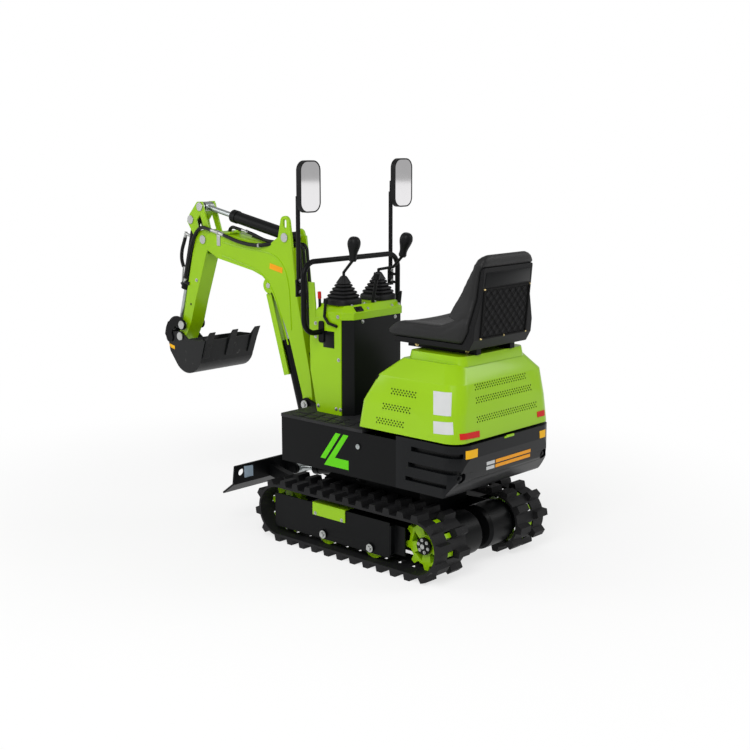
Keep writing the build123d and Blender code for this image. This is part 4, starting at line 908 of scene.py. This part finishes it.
@dataclass
class Platform:
    """House frame, counterweight, deck mat and what is under the hood."""

    shop: Shop
    side_y: float = 305.0
    mat_top: float = 545.0
    mat_x: tuple[float, float] = (-46.0, 388.0)
    mat_half: float = 306.0
    tile: tuple[float, float] = (56.0, 40.0)
    joint: float = 10.0
    lock: tuple[float, float] = (-51.6, 473.6)
    boom_foot: tuple[float, float] = (487.0, 529.0)
    console_plan: tuple[float, float, float] = (104.0, 358.0, 198.0)
    stripes: tuple = (
        ((158, 394), (130, 394), (44.5, 509), (72, 509)),
        ((137, 368), (29, 509), (1, 509), (77, 406), (1, 406), (1, 368)))

    def mat_tiles(self) -> None:
        """Lay the mat's raised tiles in a running bond."""
        forge = Forge()
        long, short = self.tile
        rows = int(2 * self.mat_half // (short + self.joint))
        rear, front, half = self.console_plan
        for row in range(rows):
            y = -self.mat_half + (row + 0.5) * 2 * self.mat_half / rows
            x = self.mat_x[0] + (0.25 if row % 2 else 0.5) * long
            while x + long / 2 < self.mat_x[1]:
                clear = abs(y) - short / 2 > half or x + long / 2 < rear or x - long / 2 > front
                if clear and x - long / 2 > self.mat_x[0]:
                    forge.slab((x, y, self.mat_top - 0.4), (long, short, 3.2), bevel=1.1)
                x += long + self.joint
        self.shop.piece("mat_tiles", forge.mesh, "house", Finish.MAT)

    def side_marks(self) -> None:
        """Put the stripes and the lock on the left side."""
        stripes, lock, key = Forge(), Forge(), Forge()
        for outline in self.stripes:
            stripes.sheet_metal([(x, self.side_y, z) for x, z in outline], (0, 0.7, 0))
        x, z = self.lock
        lock.drum((x, self.side_y - 1, z), (x, self.side_y + 2.5, z), 15, 32, bevel=0.8)
        key.drum((x, self.side_y, z), (x, self.side_y + 4, z), 10.5, 28, bevel=0.6)
        key.slab((x, self.side_y + 4, z), (2.0, 8.0, 0.8), (0, 1, 0))
        self.shop.forged("house", side_stripes=(stripes, Finish.GREEN), lock_ring=(lock, Finish.PANEL),
                         lock_barrel=(key, Finish.CHROME))

    def tail_marks(self) -> None:
        """Put the stickers, the bars and the latch on the counterweight."""
        yellow = (((-553, 258, 531), (-560, 194, 531), (-560, 194, 499), (-553, 258, 499)),
                  ((-560, -202, 529), (-558, -245, 529), (-558, -245, 499), (-560, -205, 499)))
        for number, corners in enumerate(yellow):
            Decal(f"tail_sticker_{number + 1}", "counterweight", corners, (-1, 0, 0),
                  Finish.YELLOW).stick(self.shop)
        bars = (("grey", Finish.PALE, 126, 76), ("orange", Finish.ORANGE, 70, -156))
        for name, finish, left, right in bars:
            for row, top in enumerate((464.0, 443.0)):
                low = top - 15.0
                Decal(f"tail_bar_{name}_{row + 1}", "counterweight",
                      ((-550, left - 6 * row, top), (-550, right - 6 * row, top),
                       (-545, right - 6 * row - 6, low), (-545, left - 6 * row - 6, low)), (-1, 0, 0),
                      finish, cells=4).stick(self.shop)
        latch, stub = Forge(), Forge()
        latch.slab((-558, -8, 546.0), (46, 10, 5.0), (-1, 0, 0), bevel=1.5)
        latch.slab((-559, 20, 544.5), (18, 7, 4.0), (-1, 0, 0), bevel=1.2)
        for y in (262.0, -262.0):
            stub.bolt((-529, y, 423), (-1, 0, 0), 7.0)
        self.shop.forged("house", hood_latch=(latch, Finish.LIME), tail_bolts=(stub, Finish.CAST))

    def build(self) -> None:
        """Make the whole platform."""
        self.shop.nodes(
            (Finish.BLACK, 1.0, "house_frame"), (Finish.CAST, 2.5, "counterweight"),
            (Finish.MAT, 1.5, "foot_mat"), (Finish.CAST, None, "engine"), (Finish.STEEL, None, "hood_hinge"))
        self.mat_tiles()
        self.side_marks()
        self.tail_marks()
        foot, (x, z) = Forge(), self.boom_foot
        for side in SIDES:
            foot.drum((x, side * 71, z), (x, side * 75, z), 19, 32, bevel=0.8)
            foot.drum((x, side * 74, z), (x, side * 82, z), 11, 28, bevel=1.2)
        self.shop.piece("boom_foot_washers", foot.mesh, "house", Finish.STEEL)


@dataclass
class Hood:
    """Engine hood and what is stuck on it."""

    shop: Shop
    depth: float = 1.5
    sections: tuple = ((572.0, -547.7, 304.7), (664.5, -540.0, 297.0), (768.0, -526.5, 282.5))
    side_span: tuple[float, float] = (-372.0, -130.0)
    rear_span: tuple[float, float] = (-214.0, 214.0)
    stickers: tuple = (
        ("hood_sticker_1", (-0.28, 1.0, 0.0), Finish.PALE, 0.5,
         (-419, 287, 745), (-500, 277, 748), (-508, 290, 662), (-430, 298, 658)),
        ("hood_sticker_2", (-0.28, 1.0, 0.0), Finish.PALE, 0.5,
         (-431, 300, 634), (-516, 290, 640), (-523, 296, 594), (-436, 304, 588)),
        ("reflector_1", (-1.0, 0.12, 0.0), Finish.RED, 1.6,
         (-532, 274, 597), (-546, 168, 593), (-548, 169, 569), (-534, 274, 574)),
        ("reflector_2", (-1.0, -0.12, 0.0), Finish.RED, 1.6,
         (-545, -202, 605), (-543, -254, 605), (-546, -254, 582), (-547, -203, 583)))

    def liner(self) -> None:
        """Set a near-black sheet in the wall behind the vents: painted shade that makes the vent openings read
        dark.
        """
        forge = Forge()
        gap = self.depth
        for side in SIDES:
            levels = [(z, side * (y - gap)) for z, _, y in self.sections]
            for (low, near), (high, far) in zip(levels, levels[1:]):
                rear, front = self.side_span
                outline = [(rear, near, low), (front, near, low), (front, far, high), (rear, far, high)]
                forge.sheet_metal(outline, (0, -side * 0.8, 0))
        for (low, near, _), (high, far, _) in zip(self.sections, self.sections[1:]):
            right, left = self.rear_span
            outline = [(near + gap, right, low), (near + gap, left, low), (far + gap, left, high),
                       (far + gap, right, high)]
            forge.sheet_metal(outline, (0.8, 0, 0))
        # The sheet is painted shade: it fills the vent openings with near-black.
        self.shop.piece("hood_vent_shade_sheet", forge.mesh, BODY_OF["hood"], Finish.WEBBING)

    def build(self) -> None:
        """Dress the hood and press its stickers on."""
        # Painted shade: a near-black sheet just behind the vents.
        self.liner()
        self.shop.edged("hood", Finish.LIME_MOULDING, 0.6)
        for name, facing, finish, thickness, *corners in self.stickers:
            Decal(name, "hood", corners, facing, finish, cells=12, thickness=thickness).stick(self.shop)


@dataclass
class Seat:
    """The seat, its shell, the net on its back and its rails."""

    shop: Shop
    voxel: float = 7.0
    softening: int = 10
    pan_sink: float = 13.0
    side_rise: float = 38.0
    back_sink: float = 8.0
    seam_depth: float = 3.0
    half: float = 150.0
    pan_x: tuple[float, float] = (-470.0, -120.0)
    back_low: float = 960.0
    back_tilt: float = 0.0886
    net_half: float = 140.0
    net_low: float = 934.0
    net_high: float = 1120.0
    mesh_side: float = 27.0
    net_cord: float = 3.2

    def back_x(self, z: float) -> float:
        """Where the back's rear face is at a height."""
        return -521.8 - (z - 930.0) * self.back_tilt

    def cushion(self) -> None:
        """Round the seat's solid into an upholstered form with a dished pan and raised sides."""
        holder = linked("seat_form", settled(opened(frame["nodes"]["seat_cushion"].data), "seat_form"))
        remesh = holder.modifiers.new("voxels", "REMESH")
        remesh.mode = "VOXEL"
        remesh.voxel_size = self.voxel * MM
        soft = opened(evaluated(holder), merge=False)
        bpy.data.objects.remove(holder)
        smooth(soft, self.softening)
        soft.normal_update()
        for vert in soft.verts:
            self._shape(vert)
        smooth(soft, 1)
        piece = self.shop.piece("seat_upholstery", soft, BODY_OF["seat_cushion"], Finish.VINYL)
        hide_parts("seat_cushion")

    def _shape(self, vert: bmesh.types.BMVert) -> None:
        """Move one vertex of the seat: the middle sinks, the sides and the seams stay.

        Args:
            vert: The vertex.
        """
        x, y, z = (vert.co - SLEW) / MM
        out = vert.normal.copy()
        share = min(abs(y) / self.half, 1.0)
        rear, front = self.pan_x
        dish = 1.0 - share ** 2.5
        if out.z > 0.55 and rear < x < front:
            lead = max(0.0, min(1.0, (front - x) / 70.0))
            vert.co.z -= self.pan_sink * MM * dish * lead
        elif out.x > 0.3 and z > self.back_low:
            climb = max(0.0, min(1.0, (z - 925.0) / 270.0))
            wing = math.sin(math.pi * climb ** 0.75) * share ** 3
            vert.co.x += (self.side_rise * wing - self.back_sink * dish) * MM
        if abs(out.y) > 0.8:
            ridge = math.exp(-((z - 955.0 - max(0.0, -380.0 - x) * 0.55) / 9.0) ** 2)
            vert.co.y -= math.copysign(self.seam_depth * MM * ridge, y)

    def net(self) -> None:
        """Tie a net pocket on the seat's back."""
        forge, screws = Forge(), Forge()
        half, high = self.net_half * MM, (self.net_high - self.net_low) / 2 * MM
        count = int(2 * 1.5 * half / (self.mesh_side * MM)) + 2
        mesh = bmesh.new()
        size = count * self.mesh_side * MM / 2
        bmesh.ops.create_grid(mesh, x_segments=count, y_segments=count, size=size)
        bmesh.ops.rotate(mesh, verts=mesh.verts, cent=(0, 0, 0),
                         matrix=Matrix.Rotation(math.radians(45), 3, "Z"))
        for normal, reach in (((1, 0, 0), half), ((-1, 0, 0), half), ((0, 1, 0), high), ((0, -1, 0), high)):
            bmesh.ops.bisect_plane(
                mesh, geom=mesh.verts[:] + mesh.edges[:] + mesh.faces[:], dist=1e-6,
                plane_co=Vector(normal) * reach, plane_no=normal, clear_outer=True)
        bmesh.ops.wireframe(mesh, faces=mesh.faces[:], thickness=self.net_cord * MM, use_replace=True,
                            use_boundary=True, use_even_offset=False, use_relative_offset=False)
        middle = (self.net_low + self.net_high) / 2
        lean = math.atan(self.back_tilt)
        matrix = (Matrix.Translation(place(self.back_x(middle) - self.net_cord, 0, middle))
                  @ Matrix.Rotation(-lean, 4, "Y") @ Matrix.Rotation(math.radians(-90), 4, "Z")
                  @ Matrix.Rotation(math.radians(90), 4, "X"))
        bmesh.ops.transform(mesh, matrix=matrix, verts=mesh.verts)
        bmesh.ops.recalc_face_normals(mesh, faces=mesh.faces[:])
        self.shop.piece("seat_net", mesh, BODY_OF["seat_shell"], Finish.WEBBING)
        corners = [(self.back_x(z) - 2.5, y, z) for y, z in (
            (self.net_half, self.net_low), (self.net_half, self.net_high),
            (-self.net_half, self.net_high), (-self.net_half, self.net_low))]
        for first, second in zip(corners, corners[1:] + corners[:1]):
            forge.route([first, [(p + q) / 2 for p, q in zip(first, second)], second], 3.4, 8)
        for x, y, z in corners + [(self.back_x(self.net_low) - 2.5, 0.0, self.net_low)]:
            screws.drum((x + 2, y, z), (x - 3.5, y, z), 5.0, 16, 3.0, bevel=0.6)
        self.shop.forged(BODY_OF["seat_shell"], seat_net_hem=(forge, Finish.WEBBING),
                         seat_screws=(screws, Finish.BRASS))

    def band(self) -> None:
        """Set the plain panel above the net."""
        forge = Forge()
        outline = [(self.back_x(z), y, z) for y, z in ((141, 1130), (-141, 1130), (-136, 1182), (136, 1182))]
        forge.sheet_metal(outline, (-2.2, 0, 0), bevel=1.5)
        self.shop.piece("seat_back_panel", forge.mesh, BODY_OF["seat_shell"], Finish.PANEL)

    def build(self) -> None:
        """Make the whole seat."""
        self.shop.edged("seat_rails", Finish.BLACK)
        self.shop.edged("seat_shell", Finish.PLASTIC, 5.0, 3)
        self.cushion()
        self.net()
        self.band()
        bolts = Forge()
        for side in SIDES:
            for x in (-446.0, -196.0):
                bolts.bolt((x, side * 120, 878), (0, side, 0), 6.5)
        self.shop.piece("rail_bolts", bolts.mesh, BODY_OF["seat_rails"], Finish.BRASS)


@dataclass
class Boots:
    """The two rubber boots round the joysticks: square folds with round corners under a cone."""

    shop: Shop
    middle: tuple[float, float] = (218.0, 106.0)
    foot: float = 998.0
    folds: tuple = ((128.0, 27.0), (112.0, 14.0), (96.0, 14.0), (80.0, 14.0), (64.0, 14.0))
    cone: tuple = ((27.0, 1083.0), (23.0, 1090.0), (13.0, 1108.0), (9.0, 1113.0))
    lean: float = -4.0
    groove: float = 2.2

    def levels(self) -> list[tuple[float, float]]:
        """Lay out the boot's rings.

        Returns:
            Their half widths and heights, from the foot to the top.
        """
        rings, z = [], self.foot
        for number, (width, height) in enumerate(self.folds):
            half = width / 2
            rings += [(half - (0.5 if number == 0 else self.groove + 3.0), z), (half, z + height * 0.3),
                      (half, z + height * 0.55), (half - 2.5, z + height * 0.8),
                      (half - 8.5 - self.groove, z + height * 0.99)]
            z += height
        return rings + list(self.cone)

    def grow(self, side: int) -> bmesh.types.BMesh:
        """Draw one boot up from a ring.

        Args:
            side: 1 for the left boot and -1 for the right one.

        Returns:
            Its closed mesh.
        """
        mesh = bmesh.new()
        rings = self.levels()
        bmesh.ops.create_circle(mesh, segments=56, radius=1.0)
        for vert in mesh.verts:
            vert.co *= (vert.co.x ** 4 + vert.co.y ** 4) ** -0.25
        height = rings[-1][1] - self.foot
        verts, edges = mesh.verts[:], mesh.edges[:]
        bmesh.ops.holes_fill(mesh, edges=edges)
        scale, middle = 1.0, Vector((0.0, 0.0, 0.0))
        for number, (half, z) in enumerate(rings):
            if number:
                made = bmesh.ops.extrude_edge_only(mesh, edges=edges)["geom"]
                verts = [item for item in made if isinstance(item, bmesh.types.BMVert)]
                fresh = set(verts)
                edges = [item for item in made if isinstance(item, bmesh.types.BMEdge)
                         and set(item.verts) <= fresh]
            shift = self.lean * (z - self.foot) / height
            target = place(self.middle[0] + shift, side * self.middle[1], z)
            for vert in verts:
                vert.co = target + (vert.co - middle) * (half * MM / scale)
            scale, middle = half * MM, target
        bmesh.ops.holes_fill(mesh, edges=edges)
        bmesh.ops.recalc_face_normals(mesh, faces=mesh.faces[:])
        return mesh

    def build(self) -> None:
        """Make both boots in place of their plain solids."""
        both = Forge()
        for side in SIDES:
            data = settled(self.grow(side), "boot")
            both.mesh.from_mesh(data)
            bpy.data.meshes.remove(data)
        piece = self.shop.piece("joystick_boots", both.mesh, BODY_OF["lever_gaiters"], Finish.GAITER)
        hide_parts("lever_gaiters")


@dataclass
class Console:
    """Control console, its levers, the guard rail and the mirrors."""

    shop: Shop
    cover_y: float = 183.0
    cover_bolts: tuple[tuple[float, float], ...] = (
        (171, 777), (289, 571), (186, 571), (162, 571), (174, 954), (302, 862), (302, 917))
    slope: tuple[float, float, float] = (-0.7071, 0.0, 0.7071)

    def fittings(self) -> None:
        """Bolt the covers and set the blank plate and the switch."""
        bolts, plate, switch = Forge(), Forge(), Forge()
        for side in SIDES:
            for x, z in self.cover_bolts:
                bolts.bolt((x, side * self.cover_y, z), (0, side, 0), 5.2)
            for z in (1101.0, 1055.0):
                bolts.bolt((292, side * 279, z), (-1, 0, 0), 5.2)
        for y in (94.0, -106.0):
            bolts.bolt((120, y, 932), (-1, 0, 0), 5.2)
        for spot in ((129, 53, 982), (127.2, -94, 980.2), (129.4, -139, 982.4)):
            bolts.bolt(spot, self.slope, 4.0)
        for spot in ((148, 128, 998), (164, 36, 998), (164, -30, 998), (176, -150, 998)):
            bolts.bolt(spot, (0, 0, 1), 4.0)
        plate.sheet_metal([(x, self.cover_y, z) for x, z in ((258, 822), (195, 822), (195, 891), (258, 891))],
                          (0, 1.0, 0), bevel=0.4)
        switch.slab((129.3, 108.0, 982.3), (44, 24, 5.0), self.slope, bevel=2.0)
        switch.slab((125.8, 108.0, 985.8), (15, 12, 3.0), self.slope, bevel=1.2)
        self.shop.forged("house", console_bolts=(bolts, Finish.STEEL), console_plate=(plate, Finish.PANEL),
                         console_switch=(switch, Finish.PANEL))

    def red_grip(self) -> None:
        """Slip the red grip on the small lever."""
        forge = Forge()
        forge.drum((293, 167.7, 1018), (293, 169.2, 1047.5), 7.6, 24, bevel=2.0)
        self.shop.piece("red_grip", forge.mesh, BODY_OF["control_levers"], Finish.RED)

    def build(self) -> None:
        """Make the whole console."""
        self.shop.nodes(
            (Finish.PANEL, 1.5, "console"), (Finish.LIME, 1.2, "console_covers"),
            (Finish.PLASTIC, None, "control_levers"), (Finish.BLACK, 0.8, "guard_rail"),
            (Finish.PLASTIC, 2.0, "mirrors"), (Finish.MIRROR, None, "mirror_glasses"))
        self.fittings()
        self.red_grip()


@dataclass
class WorkingArm:
    """Boom, arm, bucket, their links, cylinders, hoses and fittings."""

    shop: Shop
    upper_bead: tuple = ((1030, 1203), (1008, 1198), (880, 1181), (769, 1178), (685, 1165), (632, 1125),
                         (603, 1061), (592, 974), (586, 843))
    lower_bead: tuple = ((1030, 1140), (916, 1118), (810, 1092), (748, 1062), (698, 1005), (652, 903),
                         (606, 776))

    def dress(self) -> None:
        """Give each node its finish."""
        self.shop.nodes(
            (Finish.LIME, 1.5, "boom", "arm", "rod_guard"),
            (Finish.BLACK, 0.8, "boom_barrel", "arm_barrel", "bucket_barrel"),
            (Finish.CHROME, None, "boom_rod", "arm_rod", "bucket_rod"),
            (Finish.STEEL, 1.0, "boom_pins", "arm_pins"), (Finish.BLACK, 0.8, "guide_link", "bucket_link"),
            (Finish.WORN, 1.0, "bucket"), (Finish.WORN, 1.5, "bucket_teeth"), (Finish.HOSE, None, "boom_hoses"))

    def boom_trim(self) -> None:
        """Weld beads, the plain bar, the strap and the bracket of the boom."""
        beads, strap, bracket = Forge(), Forge(), Forge()
        for side in SIDES:
            for line in (self.upper_bead, self.lower_bead):
                beads.route([(x, side * 50.2, z) for x, z in line], 3.4, 8)
            outline = [(x, side * 50, z) for x, z in ((1066, 1183), (1043, 1183), (1043, 1243), (1066, 1241))]
            strap.sheet_metal(outline, (0, side * 3.5, 0), bevel=0.8)
        bracket.slab((985, 20, 1240), (66, 26, 8), (0.14, 0, 1), bevel=2.0)
        bracket.slab((985, 0, 1238), (12, 30, 18), (0.14, 0, 1), bevel=2.0)
        self.shop.forged("boom_body", boom_weld_beads=(beads, Finish.LIME), boom_straps=(strap, Finish.STEEL),
                         boom_bracket=(bracket, Finish.LIME))
        Decal("boom_bar", "boom", ((716, 50, 1127), (636, 50, 1112), (638, 50, 1087), (719, 50, 1103)),
              (0, 1, 0), Finish.ORANGE, cells=4).stick(self.shop)
        Decal("bucket_mark", "bucket", ((1294, 160, 720), (1256, 160, 712), (1256, 160, 696), (1294, 160, 704)),
              (0, 1, 0), Finish.YELLOW, cells=4).stick(self.shop)

    def lines(self) -> None:
        """Ferrules, steel tubes and the hoses that are clamped on the boom and the arm."""
        steel, black = Forge(), Forge()
        for start, end, radius, sides, bevel in (
                ((1100, 58, 1253), (1052, 58, 1244), 7.5, 20, 0.8),
                ((1056, 58, 1244.8), (1044, 58, 1242.4), 11, 6, 1.0),
                ((1046, 58, 1242.8), (1010, 58, 1234), 8.5, 20, 0.8),
                ((778, 60, 1201), (768, 60, 1202), 11.5, 6, 1.0),
                ((955, 0, 1257), (905, 0, 1248), 6.5, 20, 0.8),
                ((925, 0, 1251.6), (913, 0, 1249.4), 10, 6, 1.0)):
            steel.drum(start, end, radius, sides, bevel=bevel)
        for radius, *points in (
                (8.5, (1012, 58, 1234.4), (985, 59, 1228), (926, 60, 1213), (850, 60, 1202), (777, 60, 1201),
                 (752, 58, 1205)),
                (8.5, (762, 59, 1202.5), (735, 56, 1207), (706, 40, 1212), (680, 26, 1213), (640, 22, 1207.5)),
                (8.0, (908, 0, 1248.5), (880, 0, 1243), (840, 0, 1230), (790, 0, 1217), (720, 0, 1213),
                 (640, 0, 1207.5)),
                (8.0, (953, 0, 1256.6), (985, 0, 1262), (1012, 0, 1268), (1030, 0, 1262), (1036, 0, 1248)),
                (7.5, (905, -22, 1226), (850, -22, 1218), (780, -22, 1213), (720, -22, 1213),
                 (640, -22, 1207.5))):
            black.route(points, radius)
        self.shop.forged("boom_body", boom_ferrules=(steel, Finish.STEEL), boom_lines=(black, Finish.HOSE))

    def pivot_hose(self) -> None:
        """The hose from the boom's ferrule over the arm's pivot, down the arm's front."""
        forge = Forge()
        path = forge.route(
            [(1098, 58, 1252.6), (1122, 56, 1256), (1150, 54, 1262), (1185, 52, 1258), (1222, 49, 1228),
             (1252, 46, 1180), (1272, 45, 1130), (1291, 45, 1070), (1306, 45, 1015)], 8.5)
        hose = self.shop.piece("arm_hose", forge.mesh, "boom_body", Finish.HOSE)
        hose.parent = None
        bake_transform(hose)

    def arm_trim(self) -> None:
        """Bolts and the rigid pipe of the bucket cylinder."""
        steel, black = Forge(), Forge()
        steel.bolt((1231, 40, 1011.7), (0, 1, 0), 5.5)
        black.drum((1276, 39, 894.7), (1276, 41.2, 894.7), 5.5, 20, bevel=0.6)
        steel.drum((1306, 45, 1018), (1311, 45, 996), 8.0, 20, bevel=0.8)
        black.drum((1311, 45, 1000), (1284, 38, 990), 8.5, 20, bevel=0.8)
        self.shop.forged("arm_body", arm_bolts=(steel, Finish.STEEL), arm_plugs=(black, Finish.HOSE))
        pipe, hose = Forge(), Forge()
        pipe.drum((1296, 12, 1212), (1331, 14, 1221), 7.0, 18, bevel=0.8)
        pipe.drum((1330, 14, 1230), (1336, 14, 1204), 8.5, 6, bevel=0.9)
        pipe.route([(1357, 12, 1068), (1364, 12, 1040), (1368, 12, 1010), (1371, 12, 982)], 4.0, 8)
        hose.route([(1336, 14, 1206), (1346, 14, 1182), (1362, 14, 1150), (1371, 13, 1110), (1366, 12, 1080),
                    (1357, 12, 1064)], 8.5)
        hose.drum((1372, 12, 990), (1364, 8, 972), 9.5, 20, bevel=1.0)
        hose.drum((1368, 10, 980), (1352, 6, 974), 8.0, 20, bevel=1.0)
        self.shop.forged(BODY_OF["bucket_barrel"], bucket_pipe=(pipe, Finish.STEEL),
                         bucket_pipe_hose=(hose, Finish.HOSE))
        port = Forge()
        port.drum((985, 0, 1318), (985, 20, 1328), 7.0, 20, bevel=0.8)
        self.shop.piece("arm_barrel_port", port.mesh, BODY_OF["arm_barrel"], Finish.STEEL)

    def build(self) -> None:
        """Make the whole working arm."""
        self.dress()
        self.boom_trim()
        self.lines()
        self.pivot_hose()
        self.arm_trim()


def main() -> None:
    """Build the machine and its studio."""
    Studio().build()
    shop = Shop()
    for part in (Undercarriage, Platform, Hood, Seat, Boots, Console, WorkingArm):
        part(shop).build()
        log.info("%s ready", part.__name__)


if __name__ == "__main__":
    main()
